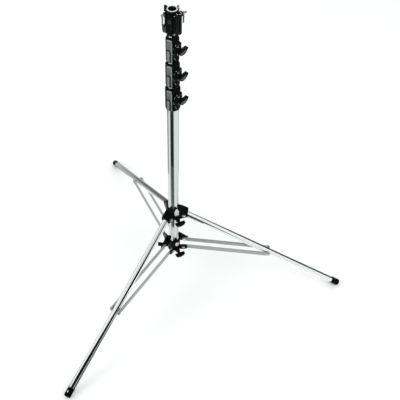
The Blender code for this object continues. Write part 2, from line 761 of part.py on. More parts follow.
def rib(radius, bottom, top):
    """A fine upright rib on a round face."""
    half = RIB_WIDTH / 2
    return box((radius - RIB_ROOT, -half, bottom), (radius + RIB_RISE, half, top))


def add_fins(stand, head):
    """The two upright fins beside the socket's rim."""
    inner = LINER_RADIUS + RIM_OVERHANG + GAP
    foot = HEAD_HEIGHT - FIN_ROOT
    for azimuth, shoulder, drop, tip, rise in FINS:
        crest = HEAD_HEIGHT + rise
        side = [(inner, foot), (HEAD_RADIUS, foot), (shoulder, HEAD_HEIGHT - drop)]
        side += [(tip, crest), (inner + FIN_LEAN, crest), (inner, HEAD_HEIGHT)]
        stand.join(head, extruded(side, -FIN_THICKNESS / 2, FIN_THICKNESS / 2), azimuth=azimuth)


def gusset(tee):
    """The web of the casting that a tee screw goes through."""
    height = TEE_HEIGHTS[tee]
    nose = TEE_REACHES[tee] - GUSSET_TO_BAR
    root = height - GUSSET_ROOT
    side = [(LINER_RADIUS, root - GUSSET_ROOT_SLOPE), (HEAD_RADIUS, root), (nose, height - GUSSET_NOSE_LOW)]
    side += [(nose, height + GUSSET_NOSE_HIGH), (HEAD_RADIUS, height + GUSSET_RISE)]
    return extruded(side + [(LINER_RADIUS, height + GUSSET_RISE)], -GUSSET_WIDTH / 2, GUSSET_WIDTH / 2)


def on_circle(radius, azimuth, height=0.0):
    """A point at a radius and an azimuth in degrees."""
    angle = math.radians(azimuth)
    return (radius * math.cos(angle), radius * math.sin(angle), height)


def build_socket_liner(stand, bottom, carrier):
    """The chrome sleeve of the socket, with a rim on top of the casting."""
    low = HEAD_HEIGHT - SOCKET_DEPTH - LINER_FLOOR
    floor = low + LINER_FLOOR
    shoulder = HEAD_HEIGHT + GAP
    top = shoulder + RIM_HEIGHT
    rim = LINER_RADIUS + RIM_OVERHANG
    profile = [(SOCKET_RADIUS, top), (rim, top), (rim, shoulder), (LINER_RADIUS, shoulder)]
    profile += [(LINER_RADIUS, low), (0.0, low), (0.0, floor), (SOCKET_RADIUS, floor)]
    liner = stand.piece(
        "socket_liner", turned(profile, ring=True), "chrome", carrier, location=(0.0, 0.0, bottom)
    )
    for tee, azimuth in enumerate((TEE_AZIMUTH, TEE_AZIMUTH + 180)):
        bore = rod(TEE_SCREW_DIAMETER / 2 + GAP, 0.0, LINER_RADIUS + OVERCUT, axis="x")
        stand.cut(liner, bore, location=(0.0, 0.0, TEE_HEIGHTS[tee]), azimuth=azimuth)


def build_head_bolt(stand, bottom, riser, carrier):
    """The bolt that holds the head casting on the top riser."""
    tip = riser + GAP
    under_head = HEAD_RADIUS + GAP
    bolt = stand.piece(
        "head_bolt",
        rod(HEAD_BOLT_DIAMETER / 2, tip, under_head + HEAD_BOLT_HEAD_LENGTH / 2, "x", PIN_SIDES),
        "zinc",
        carrier,
        location=(0.0, 0.0, bottom + HEAD_BOLT_HEIGHT),
        azimuth=HEAD_BOLT_AZIMUTH,
    )
    over_head = under_head + HEAD_BOLT_HEAD_LENGTH
    stand.join(bolt, rod(HEAD_BOLT_HEAD / 2, under_head, over_head, axis="x", sides=PIN_SIDES))


def build_tee_screw(stand, name, tee, bottom, carrier):
    """A socket screw with a cross bar, on an empty that lies on its axis."""
    azimuth = TEE_AZIMUTH + 180 * tee
    height = bottom + TEE_HEIGHTS[tee]
    axis = stand.empty(f"{name}_axis", (0.0, 0.0, height), (0.0, 0.0, azimuth), carrier)
    axis.rotation_euler.rotate_axis("X", math.radians(TEE_TILTS[tee]))
    radius = TEE_SCREW_DIAMETER / 2
    screw = stand.piece(name, rod(radius, SOCKET_RADIUS + GAP, TEE_ENDS[tee], axis="x"), "chrome", axis)
    low = TEE_BAR_RISE - TEE_BAR_LENGTH
    centre = (TEE_REACHES[tee], 0.0, 0.0)
    stand.join(screw, rod(TEE_BAR_DIAMETER / 2, low, TEE_BAR_RISE, sides=PIN_SIDES, centre=centre))


# Legs and braces


def build_leg(stand, number, azimuth, carrier):
    """A leg tube with its foot cap and the bolt that the braces hang on."""
    hinge = stand.empty(
        f"leg_hinge_{number}", on_circle(PIVOT_RADIUS, azimuth), (0.0, -LEG_SPREAD, azimuth), carrier
    )
    end = -LEG_LENGTH + FOOT_END_WALL + GAP
    steel = tube(LEG_RADIUS, LEG_RADIUS - LEG_WALL, end, LEG_END, LEG_SIDES)
    leg = stand.piece(f"leg_tube_{number}", steel, "chrome", hinge)
    stand.cut(leg, cross_rod(HINGE_BOLT_DIAMETER / 2 + GAP, LEG_RADIUS + OVERCUT))
    brace_hole = cross_rod(BRACE_BOLT_DIAMETER / 2 + GAP, LEG_RADIUS + OVERCUT)
    stand.cut(leg, brace_hole, location=(0.0, 0.0, -LEG_TO_BRACE))
    build_foot(stand, number, hinge)
    pin = cross_rod(BRACE_BOLT_DIAMETER / 2, BRACE_INNER - GAP)
    bolt = stand.piece(f"brace_bolt_{number}", pin, "zinc", hinge, location=(0.0, 0.0, -LEG_TO_BRACE))
    washer = BRACE_WASHER_DIAMETER / 2
    for sign in (1, -1):
        ends = sorted((sign * (LEG_RADIUS + GAP), sign * (BRACE_INNER - 2 * GAP)))
        stand.join(bolt, rod(washer, *ends, axis="y", sides=PIN_SIDES))


def cross_rod(radius, half):
    """A round bar across a leg, as long on both sides."""
    return rod(radius, -half, half, axis="y", sides=PIN_SIDES)


def build_foot(stand, number, hinge):
    """The black cap on a leg's end, with a hole on top and a small flat that meets the floor."""
    top = -LEG_LENGTH + FOOT_LENGTH
    floor = -LEG_LENGTH + FOOT_END_WALL
    inner = LEG_RADIUS + GAP
    ease = FOOT_WALL
    profile = [(inner, top), (FOOT_RADIUS, top), (FOOT_RADIUS, -LEG_LENGTH + ease)]
    profile += [(FOOT_RADIUS - ease, -LEG_LENGTH), (0.0, -LEG_LENGTH), (0.0, floor), (inner, floor)]
    foot = stand.piece(f"foot_cap_{number}", turned(profile, LEG_SIDES, ring=True), "plastic", hinge)
    hole = rod(FOOT_HOLE_DIAMETER / 2, 0.0, FOOT_RADIUS + OVERCUT, axis="x", sides=SMALL_SIDES)
    stand.cut(foot, hole, location=(0.0, 0.0, -LEG_LENGTH + FOOT_HOLE_FROM_END))
    reach = LEG_LENGTH
    below = box((0.0, -reach, -reach), (2 * reach, reach, FLOOR_HEIGHT - LEG_PIVOT_HEIGHT))
    stand.cut(foot, below, tilt=LEG_SPREAD)


def build_braces(stand, number, azimuth, carrier):
    """The two flat bars between the brace collar and a leg."""
    hinge = stand.empty(
        f"brace_hinge_{number}",
        on_circle(PIVOT_RADIUS, azimuth),
        (0.0, -math.degrees(BRACE_ANGLE), azimuth),
        carrier,
    )
    half = BRACE_HEIGHT / 2
    bar = arc((0.0, 0.0), half, 0, 180) + arc((0.0, -BRACE_LENGTH), half, 180, 360)
    for side, sign in (("left", -1), ("right", 1)):
        faces = sorted((sign * BRACE_INNER, sign * BRACE_OUTER))
        brace = stand.piece(
            f"brace_{number}_{side}", extruded(bar, *faces), "chrome", hinge
        )
        for height in (0.0, -BRACE_LENGTH):
            hole = cross_rod(BRACE_BOLT_DIAMETER / 2 + GAP, BRACE_OUTER + OVERCUT)
            stand.cut(brace, hole, location=(0.0, 0.0, height))


# Leg collar


def fork_outline():
    """The side of a fork, in radius and height about the leg's hinge."""
    roof = (LEG_RADIUS + FORK_ROOF_SPACE + FORK_ROOF) / math.sin(SPREAD)
    tip = roof - (FORK_REACH - PIVOT_RADIUS) / math.tan(SPREAD)
    inside = BASE_RADIUS - OVERCUT
    outline = [(inside, -FORK_FOOT), (FORK_FOOT_REACH, -FORK_FOOT), (FORK_REACH, -FORK_TIP)]
    shoulder = LEG_COLLAR_TOP - FORK_STEP
    return outline + [(FORK_REACH, tip), (PIVOT_RADIUS, roof), (COLLAR_RADIUS, shoulder), (inside, shoulder)]


def fork_slot():
    """The space that a leg and its end swing in, under the roof that stops the leg at full spread."""
    corner = math.hypot(LEG_END, LEG_RADIUS) + FORK_SIDE_SPACE
    clear = LEG_RADIUS + FORK_ROOF_SPACE
    roof_start = LEG_SPREAD - math.degrees(math.acos(clear / corner))
    far = 2 * FORK_REACH
    far_height = clear / math.sin(SPREAD) - (far - PIVOT_RADIUS) / math.tan(SPREAD)
    outline = [(PIVOT_RADIUS - corner, -far), (far, -far), (far, far_height)]
    return outline + arc((PIVOT_RADIUS, 0.0), corner, roof_start, 180)


def leg_web_outline():
    """The front web of the leg collar, seen along the clamp screw."""
    half = LEG_WEB_WIDTH / 2
    tip = LEG_WEB_TOP_WIDTH / 2
    outline = [(-half, -LEG_WEB_FOOT), (half, -LEG_WEB_FOOT), (half, LEG_WEB_SHOULDER)]
    return outline + [(tip, LEG_WEB_TOP), (-tip, LEG_WEB_TOP), (-half, LEG_WEB_SHOULDER)]


def build_leg_collar(stand, carrier):
    """The casting that the legs hinge on, with its hinge bolts and clamp."""
    inside = BASE_RADIUS - OVERCUT
    flange = COLLAR_RADIUS + LEG_COLLAR_FLANGE
    step = LEG_COLLAR_FLANGE_HEIGHT - LEG_COLLAR_BOTTOM
    profile = [(COLLAR_RADIUS, LEG_COLLAR_TOP), (COLLAR_RADIUS, step), (flange, step)]
    profile += [(flange, -LEG_COLLAR_BOTTOM), (inside, -LEG_COLLAR_BOTTOM), (inside, LEG_COLLAR_TOP)]
    collar = stand.piece("leg_collar", turned(profile, ring=True), "casting", carrier)
    for azimuth in LEG_AZIMUTHS:
        stand.join(collar, extruded(fork_outline(), -FORK_OUTER, FORK_OUTER), azimuth=azimuth)
    web = extruded(leg_web_outline(), inside, LEG_WEB_REACH, plane="yz")
    stand.join(collar, web, azimuth=COLLAR_KNOB_AZIMUTH)
    boss_reach = BASE_RADIUS + BOSS_REACH
    place = {"location": (0.0, 0.0, -LEG_CLAMP_DROP), "azimuth": COLLAR_KNOB_AZIMUTH}
    stand.join(collar, rod(BOSS_DIAMETER / 2, BASE_RADIUS, boss_reach, axis="x"), **place)
    bore = rod(BASE_RADIUS + GAP, -FORK_FOOT - OVERCUT, LEG_WEB_TOP + OVERCUT, sides=TUBE_SIDES)
    stand.cut(collar, bore)
    for azimuth in LEG_AZIMUTHS:
        stand.cut(collar, extruded(fork_slot(), -FORK_INNER, FORK_INNER), azimuth=azimuth)
        hole = rod(HINGE_BOLT_DIAMETER / 2 + GAP, -FORK_OUTER - OVERCUT, FORK_OUTER + OVERCUT, axis="y")
        stand.cut(collar, hole, location=on_circle(PIVOT_RADIUS, azimuth), azimuth=azimuth)
    cut_clamp(stand, collar, BASE_RADIUS, -LEG_CLAMP_DROP, COLLAR_KNOB_AZIMUTH, boss_reach)
    build_clamp_shoe(
        stand, "leg_collar_shoe", BASE_RADIUS, -LEG_CLAMP_DROP, COLLAR_KNOB_AZIMUTH, carrier
    )
    build_wing_knob(
        stand,
        "leg_collar_knob",
        BASE_RADIUS,
        -LEG_CLAMP_DROP,
        COLLAR_KNOB_AZIMUTH,
        boss_reach,
        BASE_RADIUS + COLLAR_WING_REACH,
        carrier,
    )
    for number, azimuth in enumerate(LEG_AZIMUTHS, 1):
        build_hinge_bolt(stand, number, azimuth, carrier)


def build_hinge_bolt(stand, number, azimuth, carrier):
    """The bolt that a leg turns on, across its fork."""
    head = HINGE_HEAD_DIAMETER / 2
    under = FORK_OUTER + GAP
    over = under + HINGE_HEAD_LENGTH
    bolt = stand.piece(
        f"leg_bolt_{number}",
        cross_rod(HINGE_BOLT_DIAMETER / 2, over - HINGE_HEAD_LENGTH / 2),
        "zinc",
        carrier,
        location=on_circle(PIVOT_RADIUS, azimuth),
        azimuth=azimuth,
    )
    stand.join(bolt, rod(head, under, over, axis="y", sides=6))
    stand.join(bolt, rod(head, -over, -under, axis="y", sides=SMALL_SIDES))


# Brace collar


def plate_outline(low):
    """The side of a wing plate, in radius and height about the brace pivot."""
    root = PLATE_INNER / math.tan(math.radians(HALF_LEG_ANGLE)) - PLATE_OVERLAP
    corner = PLATE_REACH - PLATE_CORNER
    if low:
        outline = [(root, -PLATE_FOOT), (LOW_PLATE_BEND, -PLATE_FOOT), (PLATE_REACH, -LOW_PLATE_TIP_FOOT)]
        outline += [(PLATE_REACH, LOW_PLATE_TOP - PLATE_CORNER), (corner, LOW_PLATE_TOP)]
        return outline + [(root, LOW_PLATE_TOP)]
    outline = [(root, -PLATE_FOOT), (corner, -PLATE_FOOT), (PLATE_REACH, PLATE_CORNER - PLATE_FOOT)]
    outline += [(PLATE_REACH, PLATE_TIP - PLATE_CORNER), (corner, PLATE_TIP)]
    return outline + [(PLATE_EAR_REACH, PLATE_EAR), (root, PLATE_EAR)]


def add_wing_plates(stand, collar):
    """The six plates that hold the braces; the two beside the front clamp are low."""
    for azimuth in LEG_AZIMUTHS:
        for sign in (1, -1):
            low = azimuth + sign * HALF_LEG_ANGLE == COLLAR_KNOB_AZIMUTH
            faces = sorted((sign * PLATE_INNER, sign * PLATE_OUTER))
            stand.join(collar, extruded(plate_outline(low), *faces), azimuth=azimuth)


def build_brace_collar(stand, carrier):
    """The casting that the braces hinge on, with its pins and two clamps."""
    inside = BASE_RADIUS - OVERCUT
    ring = tube(COLLAR_RADIUS, inside, -BRACE_COLLAR_BOTTOM, BRACE_COLLAR_TOP, CASTING_SIDES)
    collar = stand.piece("brace_collar", ring, "casting", carrier)
    add_wing_plates(stand, collar)
    half = BRACE_WEB_WIDTH / 2
    web = box((inside, -half, -BRACE_WEB_FOOT), (BRACE_WEB_REACH, half, BRACE_WEB_TOP))
    stand.join(collar, web, azimuth=COLLAR_KNOB_AZIMUTH)
    for clamp in BRACE_CLAMPS:
        boss = rod(BOSS_DIAMETER / 2, BASE_RADIUS, BASE_RADIUS + clamp["boss"], axis="x")
        stand.join(collar, boss, location=(0.0, 0.0, -clamp["drop"]), azimuth=clamp["azimuth"])
    low = -BRACE_COLLAR_BOTTOM - OVERCUT
    stand.cut(collar, rod(BASE_RADIUS + GAP, low, PLATE_EAR + OVERCUT, sides=TUBE_SIDES))
    for azimuth in LEG_AZIMUTHS:
        hole = rod(BRACE_BOLT_DIAMETER / 2 + GAP, -PLATE_OUTER - OVERCUT, PLATE_OUTER + OVERCUT, axis="y")
        stand.cut(collar, hole, location=on_circle(PIVOT_RADIUS, azimuth), azimuth=azimuth)
    for clamp in BRACE_CLAMPS:
        name, azimuth, height = clamp["name"], clamp["azimuth"], -clamp["drop"]
        boss_reach = BASE_RADIUS + clamp["boss"]
        cut_clamp(stand, collar, BASE_RADIUS, height, azimuth, boss_reach)
        build_clamp_shoe(stand, f"{name}_shoe", BASE_RADIUS, height, azimuth, carrier)
        build_wing_knob(
            stand,
            f"{name}_knob",
            BASE_RADIUS,
            height,
            azimuth,
            boss_reach,
            BASE_RADIUS + clamp["wing"],
            carrier,
            clamp["scale"],
            clamp["tilt"],
        )
    for number, azimuth in enumerate(LEG_AZIMUTHS, 1):
        build_brace_pins(stand, number, azimuth, carrier)


def build_brace_pins(stand, number, azimuth, carrier):
    """The two pins that a pair of braces turns on, one in each wing plate."""
    head = PIN_HEAD_DIAMETER / 2
    inner = BRACE_INNER - GAP
    outer = PLATE_OUTER + GAP
    for side, sign in (("left", -1), ("right", 1)):
        ends = sorted((sign * (inner - PIN_INNER_HEAD / 2), sign * (outer + PIN_OUTER_HEAD / 2)))
        pin = stand.piece(
            f"brace_pin_{number}_{side}",
            rod(BRACE_BOLT_DIAMETER / 2, *ends, axis="y", sides=PIN_SIDES),
            "zinc",
            carrier,
            location=on_circle(PIVOT_RADIUS, azimuth),
            azimuth=azimuth,
        )
        for first, second in ((inner - PIN_INNER_HEAD, inner), (outer, outer + PIN_OUTER_HEAD)):
            stand.join(pin, rod(head, *sorted((sign * first, sign * second)), axis="y", sides=PIN_SIDES))


def clear_scene():
    """Starts from an empty scene."""
    for old in list(bpy.data.objects):
        bpy.data.objects.remove(old)


def main():
    """Builds the whole stand."""
    clear_scene()
    stand = Stand()
    column = stand.empty("column_axis", (0.0, 0.0, 0.0))
    build_base_plug(stand, column)
    build_tube(stand, 0, column)
    carrier = column
    for number in range(RISER_COUNT):
        riser = stand.empty(f"riser_axis_{number + 1}", (0.0, 0.0, 0.0), parent=carrier)
        build_lock(stand, number, carrier)
        build_tube(stand, number + 1, riser)
        build_riser_guide(stand, number + 1, riser)
        carrier = riser
    build_head(stand, carrier)
    leg_carrier = stand.empty("leg_collar_axis", (0.0, 0.0, LEG_PIVOT_HEIGHT), parent=column)
    brace_carrier = stand.empty("brace_collar_axis", (0.0, 0.0, BRACE_PIVOT_HEIGHT), parent=column)
    build_leg_collar(stand, leg_carrier)
    build_brace_collar(stand, brace_carrier)
    for number, azimuth in enumerate(LEG_AZIMUTHS, 1):
        build_leg(stand, number, azimuth, leg_carrier)
        build_braces(stand, number, azimuth, brace_carrier)
    stand.show()


main()
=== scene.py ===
"""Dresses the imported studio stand: chrome tubes, black castings, wing knobs, fittings and a pale studio."""

from __future__ import annotations

import json
import logging
import math
from dataclasses import dataclass, field
from enum import Enum
from typing import Iterable, Sequence

import bmesh
import bpy
from mathutils import Matrix, Vector


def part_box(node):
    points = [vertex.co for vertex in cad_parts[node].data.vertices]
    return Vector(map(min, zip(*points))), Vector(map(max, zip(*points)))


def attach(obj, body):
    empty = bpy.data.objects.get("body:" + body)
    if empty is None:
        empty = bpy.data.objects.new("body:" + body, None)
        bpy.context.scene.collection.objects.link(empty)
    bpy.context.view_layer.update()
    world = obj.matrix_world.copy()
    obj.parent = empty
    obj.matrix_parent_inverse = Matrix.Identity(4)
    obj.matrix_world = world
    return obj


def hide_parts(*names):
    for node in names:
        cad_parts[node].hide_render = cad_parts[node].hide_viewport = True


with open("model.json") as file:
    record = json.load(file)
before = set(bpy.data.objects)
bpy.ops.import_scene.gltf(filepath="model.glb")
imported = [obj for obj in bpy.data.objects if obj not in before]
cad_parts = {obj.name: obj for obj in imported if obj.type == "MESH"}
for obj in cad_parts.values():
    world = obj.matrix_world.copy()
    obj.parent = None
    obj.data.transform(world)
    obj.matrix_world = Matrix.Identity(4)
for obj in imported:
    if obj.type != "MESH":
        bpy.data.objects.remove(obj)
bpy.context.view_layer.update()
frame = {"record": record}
log = logging.getLogger("studio_stand")

Point = tuple[float, float]
Corner = tuple[float, float, float]
Colour = tuple[float, float, float]

# Lengths that many pieces share: a hair's gap, a bare face's thickness and a fine rounding
MM = 0.001
HAIR = 0.0001
SKIN = 0.0003
FINE_EDGE = 0.0001

# How a mesh is cleaned and shaded
MERGE_DISTANCE = 0.000002
SHARP_ANGLE = 38.0
CREASE_ANGLE = 0.6
ROUND_SEGMENTS = 3

# Where the edge mask starts and is full, as the cosine between the flat and the rounded normal
FLAT_COSINE = 0.995
EDGE_COSINE = 0.9

# The coat's roughness, and the lowest roughness of any finish
COAT_ROUGHNESS = 0.12
LEAST_ROUGHNESS = 0.02


class Slot(Enum):
    """The record's material slots."""

    CHROME = "chrome"
    CASTING = "casting"
    PLASTIC = "plastic"
    ZINC = "zinc"
    BRASS = "brass"


def turn_about_z(azimuth: float) -> Matrix:
    """A turn about the column's axis, in degrees."""
    return Matrix.Rotation(math.radians(azimuth), 4, "Z")


def shift(x: float, y: float, z: float) -> Matrix:
    """A move in metres."""
    return Matrix.Translation((x, y, z))


# Shader groups


class Nodes:
    """Adds and joins the nodes of one tree."""

    def __init__(self, tree: bpy.types.NodeTree) -> None:
        """Takes the tree to work on."""
        self.tree = tree

    def node(self, kind: str, **settings: object) -> bpy.types.Node:
        """Adds a node.

        Args:
            kind: The node's type.
            settings: Properties to set on it.

        Returns:
            The new node.
        """
        made = self.tree.nodes.new(kind)
        for key, value in settings.items():
            setattr(made, key, value)
        return made

    def link(self, first: bpy.types.NodeSocket, second: bpy.types.NodeSocket) -> None:
        """Joins two sockets."""
        self.tree.links.new(first, second)


class ShaderGroup(Nodes):
    """A node group with named sockets that several finishes share."""

    def __init__(self, name: str) -> None:
        """Starts an empty group.

        Args:
            name: The group's name.
        """
        super().__init__(bpy.data.node_groups.new(name, "ShaderNodeTree"))
        self.start = self.node("NodeGroupInput")
        self.end = self.node("NodeGroupOutput")

    def value_in(self, name: str, default: float) -> None:
        """Adds a number input.

        Args:
            name: The socket's name.
            default: Its value where nothing is linked.
        """
        socket = self.tree.interface.new_socket(name, in_out="INPUT", socket_type="NodeSocketFloat")
        socket.default_value = default

    def out(self, name: str, kind: str = "NodeSocketFloat") -> None:
        """Adds an output of a socket type."""
        self.tree.interface.new_socket(name, in_out="OUTPUT", socket_type=kind)


def speckle_group() -> bpy.types.NodeTree:
    """Fine unevenness of a surface, as a height and a slow patch mask.

    Returns:
        The node group.
    """
    group = ShaderGroup("surface_speckle")
    group.value_in("Grain Size", 0.001)
    group.value_in("Patch Size", 0.05)
    group.out("Grain")
    group.out("Patches")
    place = group.node("ShaderNodeTexCoord")
    for socket, label, detail in (("Grain Size", "Grain", 2.0), ("Patch Size", "Patches", 4.0)):
        scale = group.node("ShaderNodeMath", operation="DIVIDE")
        scale.inputs[0].default_value = 1.0
        group.link(group.start.outputs[socket], scale.inputs[1])
        noise = group.node("ShaderNodeTexNoise")
        noise.inputs["Detail"].default_value = detail
        group.link(place.outputs["Object"], noise.inputs["Vector"])
        group.link(scale.outputs[0], noise.inputs["Scale"])
        group.link(noise.outputs["Fac"], group.end.inputs[label])
    return group.tree


def edge_group() -> bpy.types.NodeTree:
    """Softened edges: a rounded normal, and a mask of where the edges are, for wear and painted edge
    highlights.

    Returns:
        The node group.
    """
    group = ShaderGroup("edge_wear_and_sheen")
    group.value_in("Radius", 0.0008)
    group.out("Normal", "NodeSocketVector")
    group.out("Edge")
    bevel = group.node("ShaderNodeBevel", samples=4)
    group.link(group.start.outputs["Radius"], bevel.inputs["Radius"])
    flat = group.node("ShaderNodeNewGeometry")
    dot = group.node("ShaderNodeVectorMath", operation="DOT_PRODUCT")
    group.link(bevel.outputs["Normal"], dot.inputs[0])
    group.link(flat.outputs["Normal"], dot.inputs[1])
    fall = group.node("ShaderNodeMapRange")
    fall.inputs["From Min"].default_value = FLAT_COSINE
    fall.inputs["From Max"].default_value = EDGE_COSINE
    group.link(dot.outputs["Value"], fall.inputs["Value"])
    group.link(bevel.outputs["Normal"], group.end.inputs["Normal"])
    group.link(fall.outputs["Result"], group.end.inputs["Edge"])
    return group.tree


# Finishes


@dataclass(frozen=True)
class Finish:
    """A surface finish, built as a Principled material."""

    name: str
    slot: Slot
    colour: Colour
    # The second colour, which the edges take: wear, and a painted edge highlight where it is lighter than the
    # colour.
    wear_and_sheen_colour: Colour
    roughness: float
    metallic: float
    ior: float = 1.5
    spread: float = 0.06
    grain: float = 0.0010
    patch: float = 0.05
    bump: float = 0.00002
    edge: float = 0.0006
    wear_and_sheen: float = 0.3
    coat: float = 0.0

    def build(self, groups: dict[str, bpy.types.NodeTree]) -> bpy.types.Material:
        """Makes the material.

        Args:
            groups: The shared shader groups by name.

        Returns:
            The new material.
        """
        mat = bpy.data.materials.new(self.name)
        mat.use_nodes = True
        nodes = Nodes(mat.node_tree)
        shader = nodes.tree.nodes["Principled BSDF"]
        shader.inputs["Metallic"].default_value = self.metallic
        shader.inputs["IOR"].default_value = self.ior
        shader.inputs["Coat Weight"].default_value = self.coat
        shader.inputs["Coat Roughness"].default_value = COAT_ROUGHNESS
        speckle = nodes.node("ShaderNodeGroup", node_tree=groups["speckle"])
        speckle.inputs["Grain Size"].default_value = self.grain
        speckle.inputs["Patch Size"].default_value = self.patch
        edge = nodes.node("ShaderNodeGroup", node_tree=groups["edge"])
        edge.inputs["Radius"].default_value = self.edge
        # Edges, where the patches fall, are mixed towards the second colour: wear, and where that colour is
        # lighter, as on the black casting, a painted edge highlight.
        wear_and_sheen_mask = nodes.node("ShaderNodeMath", operation="MULTIPLY")
        nodes.link(edge.outputs["Edge"], wear_and_sheen_mask.inputs[0])
        nodes.link(speckle.outputs["Patches"], wear_and_sheen_mask.inputs[1])
        strength = nodes.node("ShaderNodeMath", operation="MULTIPLY")
        strength.inputs[1].default_value = self.wear_and_sheen * 2
        nodes.link(wear_and_sheen_mask.outputs[0], strength.inputs[0])
        mix = nodes.node("ShaderNodeMix", data_type="RGBA")
        mix.inputs["A"].default_value = (*self.colour, 1.0)
        mix.inputs["B"].default_value = (*self.wear_and_sheen_colour, 1.0)
        nodes.link(strength.outputs[0], mix.inputs["Factor"])
        nodes.link(mix.outputs["Result"], shader.inputs["Base Color"])
        rough = nodes.node("ShaderNodeMapRange")
        rough.inputs["To Min"].default_value = max(self.roughness - self.spread, LEAST_ROUGHNESS)
        rough.inputs["To Max"].default_value = self.roughness + self.spread
        nodes.link(speckle.outputs["Patches"], rough.inputs["Value"])
        nodes.link(rough.outputs["Result"], shader.inputs["Roughness"])
        bump = nodes.node("ShaderNodeBump")
        bump.inputs["Distance"].default_value = self.bump
        nodes.link(speckle.outputs["Grain"], bump.inputs["Height"])
        nodes.link(edge.outputs["Normal"], bump.inputs["Normal"])
        nodes.link(bump.outputs["Normal"], shader.inputs["Normal"])
        return mat


COLUMN_CHROME = Finish(
    "column_chrome", Slot.CHROME, (0.63, 0.655, 0.65), (0.60, 0.63, 0.62), 0.075, 1.0,
    spread=0.03, grain=0.02, bump=0.000006, wear_and_sheen=0.15,
)
CHROME = Finish(
    "polished_chrome", Slot.CHROME, (0.85, 0.875, 0.87), (0.70, 0.73, 0.72), 0.05, 1.0,
    spread=0.02, grain=0.02, bump=0.000006, wear_and_sheen=0.15,
)
BAR_CHROME = Finish(
    "satin_chrome", Slot.CHROME, (0.34, 0.375, 0.36), (0.52, 0.56, 0.545), 0.38, 0.35,
    grain=0.004, bump=0.00001, wear_and_sheen=0.2,
)
RIM_STEEL = Finish(
    "machined_rim", Slot.CHROME, (0.66, 0.67, 0.67), (0.74, 0.75, 0.75), 0.40, 0.3,
    grain=0.002, bump=0.00001, edge=0.0003, wear_and_sheen=0.2,
)
TEE_STEEL = Finish(
    "turned_steel", Slot.CHROME, (0.36, 0.375, 0.375), (0.55, 0.56, 0.56), 0.28, 0.9,
    grain=0.002, bump=0.00001, edge=0.0003, wear_and_sheen=0.3,
)
# Black casting; its light second colour on the edges is wear and a painted edge highlight.
CASTING = Finish(
    "black_casting", Slot.CASTING, (0.0018, 0.0020, 0.0024), (0.12, 0.125, 0.125), 0.34, 0.0,
    ior=1.13, bump=0.00004, edge=0.0010, wear_and_sheen=0.5,
)
PLASTIC = Finish(
    "black_plastic", Slot.PLASTIC, (0.002, 0.002, 0.0024), (0.06, 0.06, 0.062), 0.40, 0.0,
    ior=1.12, bump=0.00003,
)
# A grey face set into the knob's front: a painted sheen.
KNOB_FACE_SHEEN = Finish(
    "knob_face_sheen", Slot.PLASTIC, (0.075, 0.085, 0.085), (0.16, 0.17, 0.17), 0.45, 0.2,
    ior=1.3, grain=0.0006, patch=0.010, bump=0.00002, edge=0.0003, wear_and_sheen=0.5,
)
# A casting a little lighter than the black: painted sheen, on the lock's frame and the head's boss ring.
PAINTED_SHEEN_CASTING = Finish(
    "painted_sheen_casting", Slot.CASTING, (0.038, 0.041, 0.041), (0.09, 0.095, 0.095), 0.42, 0.2,
    ior=1.25, grain=0.0008, patch=0.012, bump=0.00002, edge=0.0003, wear_and_sheen=0.5,
)
# A pale grey: a painted highlight on the back fin's face.
PAINTED_FIN_HIGHLIGHT = Finish(
    "painted_fin_highlight", Slot.CASTING, (0.40, 0.39, 0.39), (0.50, 0.49, 0.49), 0.42, 0.4,
    grain=0.0006, patch=0.008, bump=0.00002, edge=0.0003, wear_and_sheen=0.4,
)
# A light grey: painted highlights, as strips, lines and ribs on the black casting.
PAINTED_HIGHLIGHT = Finish(
    "painted_highlight", Slot.CASTING, (0.27, 0.29, 0.29), (0.36, 0.38, 0.38), 0.38, 0.6,
    grain=0.0006, patch=0.012, bump=0.00002, edge=0.0003, wear_and_sheen=0.4,
)
# A dark grey: painted sheen on flat faces of the black casting.
PAINTED_SHEEN = Finish(
    "painted_sheen", Slot.CASTING, (0.135, 0.15, 0.15), (0.26, 0.28, 0.28), 0.36, 0.75,
    grain=0.0006, patch=0.012, bump=0.00002, edge=0.0004, wear_and_sheen=0.5,
)
# A dark steel; inside the head's bore its darkness also stands in for the shade down the hole, a painted
# shade.
DARK_STEEL_AND_BORE_SHADE = Finish(
    "dark_sleeve_and_bore_shade", Slot.CASTING, (0.012, 0.013, 0.014), (0.06, 0.06, 0.06), 0.42, 0.2,
    bump=0.00002, edge=0.0003,
)
ZINC = Finish("bright_zinc", Slot.ZINC, (0.74, 0.75, 0.74), (0.5, 0.5, 0.48), 0.2, 1.0, bump=0.00001)
BRASS = Finish("bare_brass", Slot.BRASS, (0.62, 0.47, 0.22), (0.7, 0.58, 0.34), 0.32, 1.0)
PLATE = Finish(
    "pale_plate", Slot.CASTING, (0.60, 0.585, 0.61), (0.42, 0.41, 0.42), 0.38, 0.0,
    patch=0.008, bump=0.00001, edge=0.0002, wear_and_sheen=0.2,
)
FINISHES = (CHROME, COLUMN_CHROME, BAR_CHROME, RIM_STEEL, TEE_STEEL, CASTING, PLASTIC, KNOB_FACE_SHEEN)
FINISHES += (PAINTED_SHEEN_CASTING, PAINTED_FIN_HIGHLIGHT, PAINTED_HIGHLIGHT, PAINTED_SHEEN, DARK_STEEL_AND_BORE_SHADE, ZINC, BRASS, PLATE)


# The workshop


def add_object(name: str, bm: bmesh.types.BMesh, material: bpy.types.Material) -> bpy.types.Object:
    """Turns a bmesh into an object of the scene.

    Args:
        name: The object's name.
        bm: Its shape, which is freed here.
        material: Its material.

    Returns:
        The new object.
    """
    mesh = bpy.data.meshes.new(name)
    bm.to_mesh(mesh)
    bm.free()
    mesh.materials.append(material)
    made = bpy.data.objects.new(name, mesh)
    bpy.context.scene.collection.objects.link(made)
    return made


